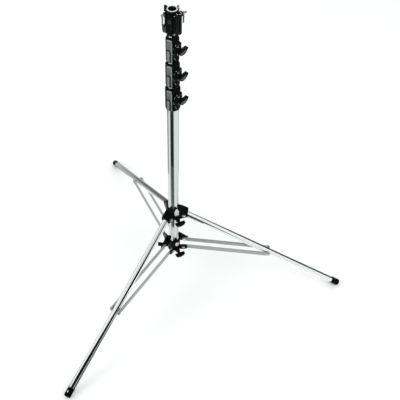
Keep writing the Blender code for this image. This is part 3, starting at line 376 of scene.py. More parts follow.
def matte(name: str, colour: Colour, roughness: float) -> bpy.types.Material:
    """A plain material without gloss, for what isn't part of the stand.

    Args:
        name: The material's name.
        colour: Its colour.
        roughness: Its roughness.

    Returns:
        The new material.
    """
    mat = bpy.data.materials.new(name)
    mat.use_nodes = True
    shader = mat.node_tree.nodes["Principled BSDF"]
    shader.inputs["Base Color"].default_value = (*colour, 1.0)
    shader.inputs["Roughness"].default_value = roughness
    shader.inputs["Specular IOR Level"].default_value = 0.0
    return mat


class Workshop:
    """Holds the materials and turns bmeshes into finished pieces."""

    def __init__(self) -> None:
        """Builds the shader groups and every finish."""
        groups = {"speckle": speckle_group(), "edge": edge_group()}
        self.materials = {finish.name: finish.build(groups) for finish in FINISHES}
        self.count = 0

    def piece(
        self,
        name: str,
        bm: bmesh.types.BMesh,
        finish: Finish,
        body: str,
        replaces: Sequence[str] = (),
    ) -> None:
        """Makes a piece that rides a body, with its place in its mesh.

        Args:
            name: The piece's name.
            bm: Its shape, which is freed here.
            finish: Its finish.
            body: The body that it rides.
            replaces: The CAD nodes that it stands for.
        """
        bmesh.ops.remove_doubles(bm, verts=bm.verts, dist=MERGE_DISTANCE)
        bmesh.ops.recalc_face_normals(bm, faces=bm.faces)
        made = add_object(name, bm, self.materials[finish.name])
        made.data.shade_smooth()
        made.data.set_sharp_from_angle(angle=math.radians(SHARP_ANGLE))
        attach(made, body)
        if replaces:
            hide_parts(*replaces)
        self.count += 1
        log.info("%s rides %s", name, body)

    def finish_node(self, node: str, finish: Finish) -> None:
        """Gives a CAD node its material.

        Args:
            node: The node's name.
            finish: Its finish.
        """
        slots = bpy.data.objects[node].data.materials
        slots.clear()
        slots.append(self.materials[finish.name])


# Shapes made with mesh operators


def rod(
    bm: bmesh.types.BMesh,
    radius: float,
    length: float,
    place: Matrix,
    sides: int = 32,
    edge: float = 0.0,
    tip: float | None = None,
) -> None:
    """Adds a round bar from the origin along +Z, placed by a matrix.

    Args:
        bm: The mesh to add to.
        radius: Its radius.
        length: Its length.
        place: Where it goes.
        sides: How many sides it has.
        edge: How far its end edges are rounded.
        tip: The radius of its far end, where it tapers.
    """
    made = bmesh.ops.create_cone(
        bm,
        cap_ends=True,
        segments=sides,
        radius1=radius,
        radius2=radius if tip is None else tip,
        depth=length,
        matrix=place @ shift(0.0, 0.0, length / 2),
    )
    if edge:
        round_ends(bm, made["verts"], edge)


def round_ends(bm: bmesh.types.BMesh, verts: Iterable[bmesh.types.BMVert], edge: float) -> None:
    """Rounds the edges of the flat ends of a bar.

    Args:
        bm: The mesh.
        verts: The bar's vertices.
        edge: The radius of the rounding.
    """
    caps = {face for vert in verts for face in vert.link_faces if len(face.verts) > 4}
    round_edges(bm, list({rim for face in caps for rim in face.edges}), edge)


def round_edges(
    bm: bmesh.types.BMesh, edges: Sequence[bmesh.types.BMEdge], width: float
) -> list[bmesh.types.BMVert]:
    """Rounds edges with a bevel of a few segments.

    Args:
        bm: The mesh.
        edges: The edges to round.
        width: How far the rounding reaches on each side.

    Returns:
        The rounding's vertices.
    """
    made = bmesh.ops.bevel(
        bm,
        geom=edges,
        offset=width,
        offset_type="OFFSET",
        segments=ROUND_SEGMENTS,
        profile=0.5,
        affect="EDGES",
        clamp_overlap=True,
        material=-1,
    )
    return made["verts"]


def prism(
    bm: bmesh.types.BMesh,
    outline: Sequence[Point],
    depth: float,
    place: Matrix,
    edge: float = 0.0,
    dish: float = 0.0,
) -> None:
    """Adds a flat outline in XY, raised along +Z.

    Args:
        bm: The mesh to add to.
        outline: The outline's points.
        depth: How far it is raised.
        place: Where it goes.
        edge: How far its edges are rounded.
        dish: How far the middle of its top is sunk.
    """
    verts = [bm.verts.new((x, y, 0.0)) for x, y in outline]
    base = bm.faces.new(verts)
    raised = bmesh.ops.extrude_face_region(bm, geom=[base])
    moved = [item for item in raised["geom"] if isinstance(item, bmesh.types.BMVert)]
    top = next(item for item in raised["geom"] if isinstance(item, bmesh.types.BMFace))
    bmesh.ops.translate(bm, vec=(0.0, 0.0, depth), verts=moved)
    if dish:
        bmesh.ops.inset_region(bm, faces=[top], thickness=dish * 2.2, depth=0.0)
        bmesh.ops.inset_region(bm, faces=[top], thickness=dish * 0.6, depth=-dish)
    every = verts + moved
    if edge:
        rims = [rim for rim in bm.edges if all(vert in every for vert in rim.verts)]
        sharp = [rim for rim in rims if len(rim.link_faces) == 2 and rim.calc_face_angle(0.0) > CREASE_ANGLE]
        rounded = round_edges(bm, sharp, edge)
        every = list({vert for vert in every + rounded if vert.is_valid})
    bmesh.ops.transform(bm, matrix=place, verts=connected(every))


def connected(seeds: Iterable[bmesh.types.BMVert]) -> list[bmesh.types.BMVert]:
    """Every vertex joined to the given ones by edges.

    Args:
        seeds: Where to start.

    Returns:
        The vertices of the same islands.
    """
    found = set(seeds)
    todo = list(found)
    while todo:
        for edge in todo.pop().link_edges:
            for vert in edge.verts:
                if vert not in found:
                    found.add(vert)
                    todo.append(vert)
    return list(found)


def lathe(bm: bmesh.types.BMesh, profile: Sequence[Point], place: Matrix, steps: int = 48) -> None:
    """Adds a shape turned about +Z from a closed profile of radius and height.

    Args:
        bm: The mesh to add to.
        profile: The profile's points in order.
        place: Where it goes.
        steps: How many steps go round.
    """
    verts = [bm.verts.new((radius, 0.0, height)) for radius, height in profile]
    edges = [bm.edges.new(pair) for pair in zip(verts, verts[1:] + verts[:1])]
    bmesh.ops.spin(
        bm,
        geom=verts + edges,
        cent=(0.0, 0.0, 0.0),
        axis=(0.0, 0.0, 1.0),
        angle=math.tau,
        steps=steps,
        use_merge=True,
    )
    bmesh.ops.transform(bm, matrix=place, verts=connected(verts))


def arc(centre: Point, radius: float, start: float, end: float, steps: int = 12) -> list[Point]:
    """Points of an arc, with angles in degrees.

    Args:
        centre: Its centre.
        radius: Its radius.
        start: The first angle.
        end: The last angle.
        steps: How many steps it has.

    Returns:
        The points.
    """
    turns = [math.radians(start + (end - start) * step / steps) for step in range(steps + 1)]
    return [(centre[0] + radius * math.cos(turn), centre[1] + radius * math.sin(turn)) for turn in turns]


def facing(azimuth: float, height: float, reach: float) -> Matrix:
    """A place on the column where +Z points outwards, +Y up and +X to the right seen from outside.

    Args:
        azimuth: The direction outwards, in degrees.
        height: The height in the shared frame.
        reach: The distance from the column's axis.

    Returns:
        The matrix.
    """
    return (
        shift(0.0, 0.0, height)
        @ turn_about_z(azimuth)
        @ shift(reach, 0.0, 0.0)
        @ Matrix(((0, 0, 1, 0), (1, 0, 0, 0), (0, 1, 0, 0), (0, 0, 0, 1)))
    )


def upright(place: Matrix) -> Matrix:
    """The same place with +Z turned onto its +Y, for bars that stand across a screw."""
    return place @ Matrix.Rotation(-math.pi / 2, 4, "X")


def about(radius: float, azimuth: float, height: float, fall: float = 0.0) -> Matrix:
    """A leg's or a brace's own frame: its length runs along -Z, and its width along Y.

    Args:
        radius: The hinge's distance from the column's axis.
        azimuth: The leg's direction, in degrees.
        height: The hinge's height.
        fall: How far the length is swung outwards from straight down, in degrees.

    Returns:
        The matrix.
    """
    return (
        turn_about_z(azimuth)
        @ shift(radius, 0.0, height)
        @ Matrix.Rotation(math.radians(-fall), 4, "Y")
    )


def across(place: Matrix, side: int, start: float) -> Matrix:
    """A place on a leg's side where +Z points away from the leg.

    Args:
        place: The leg's frame.
        side: 1 for the leg's +Y side, -1 for the other.
        start: How far from the leg's middle it is.

    Returns:
        The matrix.
    """
    return place @ shift(0.0, side * start, 0.0) @ Matrix.Rotation(-side * math.pi / 2, 4, "X")


def domed_head(bm: bmesh.types.BMesh, radius: float, height: float, place: Matrix, steps: int = 32) -> None:
    """Adds a low domed head that stands on z = 0 of its place.

    Args:
        bm: The mesh to add to.
        radius: Its radius.
        height: Its height.
        place: Where it goes.
        steps: How many steps go round.
    """
    dome = [(radius * math.cos(turn), height * (0.35 + 0.65 * math.sin(turn))) for turn in quarter(6)]
    lathe(bm, [(0.0, 0.0), (radius, 0.0)] + dome[:-1] + [(0.0, height)], place, steps)


def quarter(steps: int) -> list[float]:
    """Angles from 0 to a right angle, in radians."""
    return [math.pi / 2 * step / steps for step in range(steps + 1)]


def threaded(
    bm: bmesh.types.BMesh, radius: float, length: float, place: Matrix, pitch: float = 0.0015
) -> None:
    """Adds a screw's thread as close rings along +Z.

    Args:
        bm: The mesh to add to.
        radius: Its outer radius.
        length: Its length.
        place: Where it goes.
        pitch: The distance between crests.
    """
    turns = max(int(length / pitch), 1)
    root = radius - pitch * 0.45
    profile = [(0.0, 0.0), (root, 0.0)]
    for turn in range(turns):
        base = length * turn / turns
        step = length / turns
        profile += [(radius, base + step * 0.4), (radius, base + step * 0.6), (root, base + step)]
    lathe(bm, profile + [(0.0, length)], place, 24)


def washer(inner: float, outer: float, height: float, ease: float, inner_ease: float = 0.0) -> list[Point]:
    """The profile of a flat ring with eased upper edges.

    Args:
        inner: The hole's radius.
        outer: The outer radius.
        height: The ring's height.
        ease: How far the outer edge is eased.
        inner_ease: How far the hole's edge is eased.

    Returns:
        The profile's points.
    """
    profile = [(inner, 0.0), (outer, 0.0), (outer, height - ease), (outer - ease, height)]
    if inner_ease:
        return profile + [(inner + inner_ease, height), (inner, height - inner_ease)]
    return profile + [(inner, height)]


def cap_screw(bm: bmesh.types.BMesh, radius: float, height: float, place: Matrix) -> None:
    """Adds a cap screw's head with a round socket in it.

    Args:
        bm: The mesh to add to.
        radius: Its radius.
        height: Its height.
        place: Where it goes.
    """
    ease = 0.0004
    hole, floor = radius * 0.5, height * 0.4
    profile = [(0.0, 0.0), (radius, 0.0), (radius, height - ease), (radius - ease, height)]
    lathe(bm, profile + [(hole, height), (hole, floor), (0.0, floor)], place, 24)


# Sub-assemblies


@dataclass(frozen=True)
class Linkage:
    """The sizes that the legs, the braces and both collars share, with the legs spread.

    Lengths are in metres and angles in degrees. Both collars' hinges lie on one radius.
    """

    radius: float = 0.050
    leg_height: float = 0.281714
    brace_height: float = 0.045
    spread: float = 58.8
    to_brace: float = 0.4917
    brace_length: float = 0.42097
    brace_swing: float = 87.5494


LINKAGE = Linkage()


@dataclass
class SubAssembly:
    """Something that the workshop finishes piece by piece."""

    shop: Workshop


@dataclass
class LegFitting(SubAssembly):
    """What belongs to one of the three legs, by its number and direction."""

    number: int
    azimuth: float


@dataclass
class WingKnob(SubAssembly):
    """A half-moon wing knob with its hub and screw, on the body that has its node's name."""

    node: str
    azimuth: float
    height: float
    reach: float
    boss: float
    tip: float
    scale: float = 1.0
    tilt: float = 0.0
    with_sheen_face: bool = False
    length: float = 0.050
    depth: float = 0.019
    thickness: float = 0.016
    rise: float = 0.006
    screw: float = 0.005
    neck: float = 0.0075
    edge: float = 0.0024
    dish: float = 0.0011
    overlap: float = 0.002
    face_inset: float = 0.0046
    face_depth: float = 0.0006
    face_sunk: float = 0.0010

    def outline(self, inset: float = 0.0003) -> list[Point]:
        """The half-moon seen along the screw.

        Args:
            inset: How far it lies inside the CAD wing's edge.

        Returns:
            The outline's points.
        """
        half = self.length / 2 * self.scale - inset * 1.6
        depth = self.depth * self.scale - inset * 2
        top = self.rise * self.scale - inset
        radius = (half * half + depth * depth) / (2 * depth)
        below = math.degrees(math.acos((radius - depth) / radius))
        return arc((0.0, top - depth + radius), radius, -90 - below, -90 + below, 28)

    def build(self) -> None:
        """Builds the knob in place of the CAD node."""
        place = facing(self.azimuth, self.height, 0.0) @ Matrix.Rotation(math.radians(self.tilt), 4, "Z")
        near = self.reach - self.thickness / 2
        bm = bmesh.new()
        wing = place @ shift(0.0, 0.0, near)
        prism(bm, self.outline(), self.thickness, wing, edge=self.edge * self.scale, dish=self.dish)
        neck = self.neck * self.scale
        hub = near - self.boss + self.overlap
        start = self.boss + 4 * HAIR
        ease = 0.0008
        profile = [(0.0, 0.0), (neck - ease, 0.0), (neck, ease), (neck * 0.94, hub * 0.5), (neck, hub)]
        lathe(bm, profile + [(0.0, hub)], place @ shift(0.0, 0.0, start), 32)
        self.shop.piece(f"{self.node}_wing", bm, PLASTIC, self.node, replaces=(self.node,))
        bm = bmesh.new()
        tip = self.tip + HAIR
        threaded(bm, self.screw - HAIR, start - tip, place @ shift(0.0, 0.0, tip))
        self.shop.piece(f"{self.node}_screw", bm, ZINC, self.node)
        # The face inside the knob's dish is lighter than the knob: a painted sheen.
        if self.with_sheen_face:
            bm = bmesh.new()
            face = place @ shift(0.0, 0.0, self.reach + self.thickness / 2 - self.face_sunk)
            prism(bm, self.outline(self.face_inset), self.face_depth, face, edge=2 * FINE_EDGE)
            self.shop.piece(f"{self.node}_face", bm, KNOB_FACE_SHEEN, self.node)


@dataclass
class LockCasting(SubAssembly):
    """The fittings of one riser lock: its screws, the faces of its pad and panel in painted sheen, a frame in
    painted sheen and ribs in painted highlight.
    """

    number: int
    body: str
    seat: float
    bottom: float
    azimuth: float = -4.0
    screw_height: float = 0.062
    block: float = 0.0125
    wall: float = 0.006
    knob_reach: float = 0.0265
    knob_scale: float = 1.12
    shoe_reach: float = 0.0041
    cap_heights: Point = (0.045, 0.079)
    cap_side: float = 0.0086
    flank_rise: float = 0.022
    flank_reach: float = 0.0126
    pad_azimuth: float = -80.0
    pad_reach: float = 0.0075
    pad_half: float = 0.0114
    pad_low: float = 0.0054
    pad_high: float = 0.0998
    panel_reach: float = 0.0100
    panel_half: float = 0.008
    panel_shift: float = -0.0035
    panel_top: float = 0.060
    panel_foot: float = 0.008
    panel_edge: float = 0.0008
    line_half: float = 0.0020
    groove: float = 0.0025
    strip: float = 0.0030
    strip_cut: float = 0.0010
    shoulder: float = 0.0068
    shoulder_lean: float = -14.0
    shoulder_cut: float = 0.0020
    frame_heights: Point = (-0.0235, 0.0195)
    frame_half: float = 0.0105
    frame_width: float = 0.0022
    rib_half: float = 0.0011
    # Thin ribs in a light finish, painted highlights: azimuth, low, high and lean.
    ribs: tuple[tuple[float, float, float, float], ...] = (
        (-48.0, 0.036, 0.052, 24.0),
        (-40.0, 0.066, 0.080, -30.0),
        (-34.0, 0.014, 0.028, 32.0),
    )

    def build(self) -> None:
        """Adds the fittings."""
        self.add_screws()
        self.add_pad_face()
        self.add_panel_face()
        self.add_block_frame()

    def knob(self) -> WingKnob:
        """The wing knob that clamps the riser.

        Returns:
            The knob, ready to build.
        """
        return WingKnob(
            self.shop,
            f"lock_knob_{self.number}",
            self.azimuth,
            self.bottom + self.screw_height,
            reach=self.seat + self.knob_reach,
            boss=self.seat + self.block,
            tip=self.seat + self.shoe_reach,
            scale=self.knob_scale,
            with_sheen_face=True,
        )

    def add_screws(self) -> None:
        """The cap screws beside the clamp screw, with sockets in their heads."""
        bm = bmesh.new()
        for side in (1, -1):
            for height in self.cap_heights:
                place = facing(self.azimuth, self.bottom + height, self.seat + self.block + HAIR)
                cap_screw(bm, 0.0033, 0.0026, place @ shift(side * self.cap_side, 0.0, 0.0))
        for rise in (-self.flank_rise, self.flank_rise):
            middle = about(self.seat + self.wall, self.azimuth, self.bottom + self.screw_height + rise)
            cap_screw(bm, 0.0034, 0.0024, across(middle, -1, self.flank_reach))
        self.shop.piece(f"lock_screws_{self.number}", bm, ZINC, self.body)

    def add_pad_face(self) -> None:
        """A lighter face on the pad, painted sheen, cut out round the panel's groove."""
        side, low, high = self.pad_half, self.pad_low, self.pad_high
        around = self.panel_half + self.groove
        crown = self.panel_top - self.panel_half
        cut = math.degrees(math.acos((-side - self.panel_shift) / around))
        outline = [(side, low), (side, high), (-side, high)]
        outline += arc((self.panel_shift, crown), around, cut, 0, 14) + [(self.panel_shift + around, low)]
        bm = bmesh.new()
        place = facing(self.pad_azimuth, self.bottom, self.seat + self.pad_reach)
        prism(bm, outline, SKIN, place, edge=FINE_EDGE)
        # The pad's face is lighter than the casting: a painted sheen.
        self.shop.piece(f"lock_pad_{self.number}", bm, PAINTED_SHEEN, self.body)
        bm = bmesh.new()
        # The strip down the pad's side and the sloping shoulder above it, in a light finish: painted
        # highlights.
        inner = side - self.strip
        strip = [(inner, low), (side, low), (side, high), (inner, high - self.strip_cut)]
        prism(bm, strip, SKIN + HAIR, place @ shift(0.0, 0.0, 2 * HAIR), edge=FINE_EDGE)
        lean = Matrix.Rotation(math.radians(self.shoulder_lean), 4, "X")
        slope = place @ shift(0.0, high + 2 * SKIN, 2 * HAIR) @ lean
        narrow = side - self.shoulder_cut
        shoulder = [(-side, 0.0), (side, 0.0), (narrow, self.shoulder), (-narrow, self.shoulder)]
        prism(bm, shoulder, SKIN, slope @ shift(0.0, 0.0, -SKIN), edge=FINE_EDGE)
        self.shop.piece(f"lock_pad_edge_{self.number}", bm, PAINTED_HIGHLIGHT, self.body)

    def add_panel_face(self) -> None:
        """The arched panel's face in painted sheen, with a painted highlight line down its middle."""
        half = self.panel_half - self.panel_edge
        crown = self.panel_top - self.panel_half
        foot = self.panel_foot + self.panel_edge
        outline = [(self.panel_shift + half, foot)] + arc((self.panel_shift, crown), half, 0, 180, 16)
        outline += [(self.panel_shift - half, foot)]
        bm = bmesh.new()
        place = facing(self.pad_azimuth, self.bottom, self.seat + self.panel_reach)
        prism(bm, outline, SKIN, place, edge=FINE_EDGE)
        # The panel's face is lighter than the casting: a painted sheen.
        self.shop.piece(f"lock_panel_{self.number}", bm, PAINTED_SHEEN, self.body)
        # A light line down the panel's middle: a painted highlight.
        left, right = self.panel_shift - self.line_half, self.panel_shift + self.line_half
        line = [(left, foot), (right, foot), (right, crown), (left, crown)]
        bm = bmesh.new()
        prism(bm, line, SKIN, place @ shift(0.0, 0.0, 2 * HAIR), edge=FINE_EDGE)
        self.shop.piece(f"lock_panel_line_{self.number}", bm, PAINTED_HIGHLIGHT, self.body)

    def add_block_frame(self) -> None:
        """A raised frame round the clamp screw on the block's face, lighter as painted sheen, and thin light
        ribs on the casting as painted highlights.
        """
        place = facing(self.azimuth, self.bottom + self.screw_height, self.seat + self.block - 4 * HAIR)
        bm = bmesh.new()
        lathe(bm, washer(0.0056, 0.0086, 0.0022, 0.0006, 0.0006), place)
        half, width = self.frame_half, self.frame_width
        for height in self.frame_heights:
            outline = [(-half, 0.0), (half, 0.0), (half, width), (-half, width)]
            prism(bm, outline, 0.0013, place @ shift(0.0, height, 0.0), edge=SKIN)
        # The frame's finish is a little lighter than the casting: painted sheen.
        self.shop.piece(f"lock_frame_{self.number}", bm, PAINTED_SHEEN_CASTING, self.body)
        # Thin ribs in a light finish: painted highlights on the casting.
        bm = bmesh.new()
        for azimuth, low, high, lean in self.ribs:
            rib = facing(azimuth, self.bottom + (low + high) / 2, self.seat + self.wall - 2 * HAIR)
            half, side = (high - low) / 2, self.rib_half
            outline = [(-side, -half), (side, -half), (side, half), (-side, half)]
            prism(bm, outline, 3 * SKIN, rib @ Matrix.Rotation(math.radians(lean), 4, "Z"), edge=SKIN)
        self.shop.piece(f"lock_ribs_{self.number}", bm, PAINTED_HIGHLIGHT, self.body)


@dataclass
class Head(SubAssembly):
    """The head's bright rim and dark sleeve, whose darkness is also painted shade in the bore, its tee
    screws, small screws, the lug's ring, and light faces on its fin and ear as painted highlight and sheen.
    """

    body: str = "riser_3"
    bottom: float = 1.319
    height: float = 0.1045
    radius: float = 0.024
    bore: float = 0.0145
    sleeve: float = 0.0175
    rim: float = 0.0205
    rim_height: float = 0.0035
    chamfer: float = 0.0013
    depth: float = 0.050
    lug_azimuth: float = -6.0
    lug_offset: float = 0.031
    lug_bore: float = 0.00815
    lug_drop: float = 0.003
    tee_azimuth: float = 61.0
    tee_heights: Point = (0.077, 0.090)
    tee_reaches: Point = (0.046, 0.039)
    tee_ends: Point = (0.0575, 0.0432)
    tee_tilts: Point = (2.0, -2.0)
    bar_rise: float = 0.006
    bar_length: float = 0.050
    bar_radius: float = 0.0035
    bolt_azimuth: float = -40.0
    bolt_height: float = 0.0125
    fin_azimuth: float = 66.0
    fin_tip: float = 0.0275
    fin_shoulder: float = 0.0300
    fin_rise: float = 0.0080
    fin_lean: float = 0.0035
    fin_half: float = 0.003
    fin_foot: float = 0.0140
    fin_knee: float = 0.0070
    fin_ledge: float = 0.0030
    ear_azimuth: float = 225.0
    ear_half: float = 0.008
    ear_outline: tuple[Point, ...] = (
        (0.0252, 0.0102),
        (0.0290, 0.0116),
        (0.0358, 0.0172),
        (0.0358, 0.0335),
        (0.0272, 0.0405),
        (0.0252, 0.0405),
    )
    small_azimuth: float = -35.0
    small_height: float = 0.091
    boss_azimuth: float = -80.0
    boss_height: float = 0.065

    def build(self) -> None:
        """Builds the head's pieces."""
        self.add_socket()
        self.add_lug_ring()
        self.add_fin_face()
        self.add_ear_face()
        for index, side in enumerate(("back", "front")):
            self.add_tee_screw(index, side)
        self.add_screws()

    def add_socket(self) -> None:
        """The polished rim, and the sleeve that the spigot goes down, whose dark finish is also a painted
        shade in the bore.
        """
        top = self.bottom + self.height
        slip = 2 * HAIR
        inner, outer = self.bore + slip, self.rim - slip
        high = slip + self.rim_height
        edge = inner + self.chamfer
        seam = high - 4 * SKIN
        profile = [(edge, seam), (outer, seam), (outer, high - 2 * SKIN), (outer - 2 * SKIN, high)]
        profile += [(edge + slip, high), (edge, high - slip)]
        bm = bmesh.new()
        lathe(bm, profile, shift(0.0, 0.0, top), 72)
        self.shop.piece("socket_rim_ring", bm, RIM_STEEL, self.body, replaces=("socket_liner",))
        wall = self.sleeve - slip
        floor, under = -self.depth, -self.depth - 9 * SKIN
        seam -= HAIR
        profile = [(inner, high - self.chamfer), (edge, high - SKIN), (edge, seam), (outer, seam)]
        profile += [(outer, SKIN), (wall, SKIN), (wall, under), (0.0, under), (0.0, floor), (inner, floor)]
        bm = bmesh.new()
        lathe(bm, profile, shift(0.0, 0.0, top), 64)
        # The sleeve's dark finish fills the bore with painted shade.
        self.shop.piece("socket_sleeve", bm, DARK_STEEL_AND_BORE_SHADE, self.body)

    def add_lug_ring(self) -> None:
        """The bare ring round the side socket."""
        inner = self.lug_bore + HAIR
        top = self.bottom + self.height - self.lug_drop
        place = turn_about_z(self.lug_azimuth) @ shift(self.lug_offset, 0.0, top)
        bm = bmesh.new()
        outer, high = inner + 0.0016, 0.0008
        profile = [(inner, HAIR), (outer, HAIR), (outer, high - SKIN), (outer - 2 * SKIN, high)]
        lathe(bm, profile + [(inner, high)], place, 48)
        self.shop.piece("lug_ring", bm, ZINC, self.body)

    def add_fin_face(self) -> None:
        """A light face on the side of the back fin, a painted highlight."""
        inner, outer = self.rim + 8 * HAIR, self.fin_tip - SKIN
        top = self.height + self.fin_rise - 5 * HAIR
        root, foot = self.radius + SKIN, self.height - self.fin_foot
        outline = [(root, foot), (root + self.fin_ledge, foot)]
        outline += [(self.fin_shoulder - SKIN, self.height - self.fin_knee), (outer, top)]
        outline += [(inner + self.fin_lean, top), (inner, self.height), (root, self.height)]
        upright_face = (
            turn_about_z(self.fin_azimuth)
            @ shift(0.0, -self.fin_half, self.bottom)
            @ Matrix.Rotation(math.pi / 2, 4, "X")
        )
        bm = bmesh.new()
        prism(bm, outline, SKIN, upright_face, edge=FINE_EDGE)
        # The fin's face is pale: a painted highlight.
        self.shop.piece("fin_face", bm, PAINTED_FIN_HIGHLIGHT, self.body)

    def add_ear_face(self) -> None:
        """A lighter face on the side of the ear at the casting's foot, painted sheen."""
        side = turn_about_z(self.ear_azimuth) @ shift(0.0, self.ear_half + SKIN, self.bottom)
        bm = bmesh.new()
        prism(bm, self.ear_outline, 4 * HAIR, side @ Matrix.Rotation(math.pi / 2, 4, "X"), edge=FINE_EDGE)
        # The ear's face is lighter than the casting: a painted sheen.
        self.shop.piece("ear_face", bm, PAINTED_SHEEN, self.body)

    def add_tee_screw(self, index: int, side: str) -> None:
        """A socket screw with its sliding bar.

        Args:
            index: 0 for the back screw, 1 for the front screw.
            side: The word in the node's name.
        """
        azimuth = self.tee_azimuth + 180.0 * index
        height = self.bottom + self.tee_heights[index]
        turn = Matrix.Rotation(math.radians(self.tee_tilts[index]), 4, "Z")
        place = facing(azimuth, height, 0.0) @ turn
        reach, end = self.tee_reaches[index], self.tee_ends[index]
        node = f"head_screw_{side}"
        bm = bmesh.new()
        start = self.bore + 4 * HAIR
        collar = reach - 0.0052
        thick, ease = 0.0044, 0.0007
        threaded(bm, thick, collar - start, place @ shift(0.0, 0.0, start))
        hub = end - collar
        profile = [(0.0, 0.0), (0.0038, 0.0), (thick, ease), (thick, hub - ease), (thick - ease, hub)]
        lathe(bm, profile + [(0.0, hub)], place @ shift(0.0, 0.0, collar), 28)
        self.shop.piece(f"{node}_hub", bm, TEE_STEEL, node, replaces=(node,))
        low = self.bar_rise - self.bar_length
        bar = upright(place @ shift(0.0, low, reach))
        length = self.bar_length
        bm = bmesh.new()
        full = self.bar_radius - HAIR
        waist = full - 4 * HAIR
        end_cap = [(0.0, 0.0), (full * 0.7, 0.0002), (full, 0.0012), (full, 0.0044), (waist, 0.0050)]
        lathe(bm, end_cap + [(wide, length - up) for wide, up in reversed(end_cap)], bar, 24)
        self.shop.piece(f"{node}_bar", bm, TEE_STEEL, node)

    def add_screws(self) -> None:
        """The cross bolt's head, the small screws on the casting's front, and a ring round the boss screw in
        painted sheen.
        """
        bm = bmesh.new()
        bolt = facing(self.bolt_azimuth, self.bottom + self.bolt_height, self.radius + 4 * HAIR)
        cap_screw(bm, 0.0049, 0.0038, bolt)
        rod(bm, 0.0029, 0.0060, bolt @ shift(0.0, 0.0, -0.0062), 20)
        self.shop.piece("head_bolt_cap", bm, ZINC, self.body, replaces=("head_bolt",))
        bm = bmesh.new()
        small = facing(self.small_azimuth, self.bottom + self.small_height, self.radius - SKIN)
        cap_screw(bm, 0.0030, 0.0018, small)
        self.shop.piece("head_screw_small", bm, ZINC, self.body)
        boss = facing(self.boss_azimuth, self.bottom + self.boss_height, self.radius - 2 * SKIN)
        bm = bmesh.new()
        cap_screw(bm, 0.0036, 0.0019, boss)
        self.shop.piece("head_boss_screw", bm, DARK_STEEL_AND_BORE_SHADE, self.body)
        # The ring round the boss screw is lighter than the casting: a painted sheen.
        bm = bmesh.new()
        lathe(bm, washer(0.0046, 0.0074, 0.0022, 0.0006, 0.0006), boss, 36)
        self.shop.piece("head_boss_ring", bm, PAINTED_SHEEN_CASTING, self.body)


@dataclass
class Tube(SubAssembly):
    """A drawn chrome tube with eased ends, in place of the CAD tube."""

    node: str
    body: str
    radius: float
    wall: float
    low: float
    high: float
    place: Matrix = field(default_factory=Matrix)
    steps: int = 96
    finish: Finish = CHROME

    def build(self) -> None:
        """Builds the tube."""
        outer, inner = self.radius - 0.00002, self.radius - self.wall + 0.00002
        ease = 0.0004
        profile = [(inner, self.low + ease), (inner + ease, self.low), (outer - ease, self.low)]
        profile += [(outer, self.low + ease), (outer, self.high - ease), (outer - ease, self.high)]
        profile += [(inner + ease, self.high), (inner, self.high - ease)]
        bm = bmesh.new()
        lathe(bm, profile, self.place, self.steps)
        self.shop.piece(f"{self.node}_drawn", bm, self.finish, self.body, replaces=(self.node,))


@dataclass
class HingeBolt(LegFitting):
    """The bolt that a leg turns on: a domed head, washers and a nut."""

    under: float = 0.0209
    head: float = 0.005

    def build(self) -> None:
        """Builds the bolt."""
        place = about(LINKAGE.radius, self.azimuth, LINKAGE.leg_height)
        bm = bmesh.new()
        rod(bm, 0.0049, 2 * self.under + 0.002, across(place, 1, -self.under - 0.001), 28)
        for side in (1, -1):
            lathe(bm, washer(0.0049, 0.0084, 0.0010, 0.0003), across(place, side, self.under), 36)
        rod(bm, 0.0078, self.head - 0.0024, across(place, 1, self.under + 0.0010), 6, 0.0005)
        rod(bm, 0.0045, 0.0012, across(place, 1, self.under + self.head - 0.0014), 24, 0.0004)
        domed_head(bm, 0.0078, self.head - 0.0011, across(place, -1, self.under + 0.0010))
        node = f"leg_bolt_{self.number}"
        self.shop.piece(f"{node}_set", bm, ZINC, "leg_collar", replaces=(node,))


@dataclass
class BracePins(LegFitting):
    """The two riveted pins that a pair of braces turns on at the collar."""

    inner: float = 0.0174
    outer: float = 0.0305

    def build(self) -> None:
        """Builds both pins."""
        place = about(LINKAGE.radius, self.azimuth, LINKAGE.brace_height)
        for side, label in ((1, "right"), (-1, "left")):
            bm = bmesh.new()
            rod(bm, 0.0039, self.outer - self.inner + 0.001, across(place, side, self.inner - 0.0005), 24)
            domed_head(bm, 0.0068, 0.0038, across(place, side, self.outer), 28)
            rod(bm, 0.0068, 0.0013, across(place, side, self.inner - 0.0014), 28, 0.0003)
            node = f"brace_pin_{self.number}_{label}"
            self.shop.piece(f"{node}_rivet", bm, ZINC, "brace_collar", replaces=(node,))


@dataclass
class BracePair(LegFitting):
    """The two flat bars of a pair of braces, with rounded edges and a shallow channel."""

    half: float = 0.011
    inner: float = 0.0177
    outer: float = 0.0242
    edge: float = 0.0013
    dish: float = 0.0007

    def build(self) -> None:
        """Builds both bars."""
        place = about(LINKAGE.radius, self.azimuth, LINKAGE.brace_height, LINKAGE.brace_swing)
        half = self.half - HAIR
        thick = self.outer - self.inner - 2 * HAIR
        for side, label in ((1, "right"), (-1, "left")):
            far = side * LINKAGE.brace_length
            ends = (0.0, far) if side < 0 else (far, 0.0)
            outline = arc((0.0, max(ends)), half, 0, 180, 14) + arc((0.0, min(ends)), half, 180, 360, 14)
            bm = bmesh.new()
            prism(bm, outline, thick, across(place, side, self.inner + HAIR), self.edge, self.dish)
            node = f"brace_{self.number}_{label}"
            self.shop.piece(f"{node}_bar", bm, BAR_CHROME, f"braces_{self.number}", replaces=(node,))


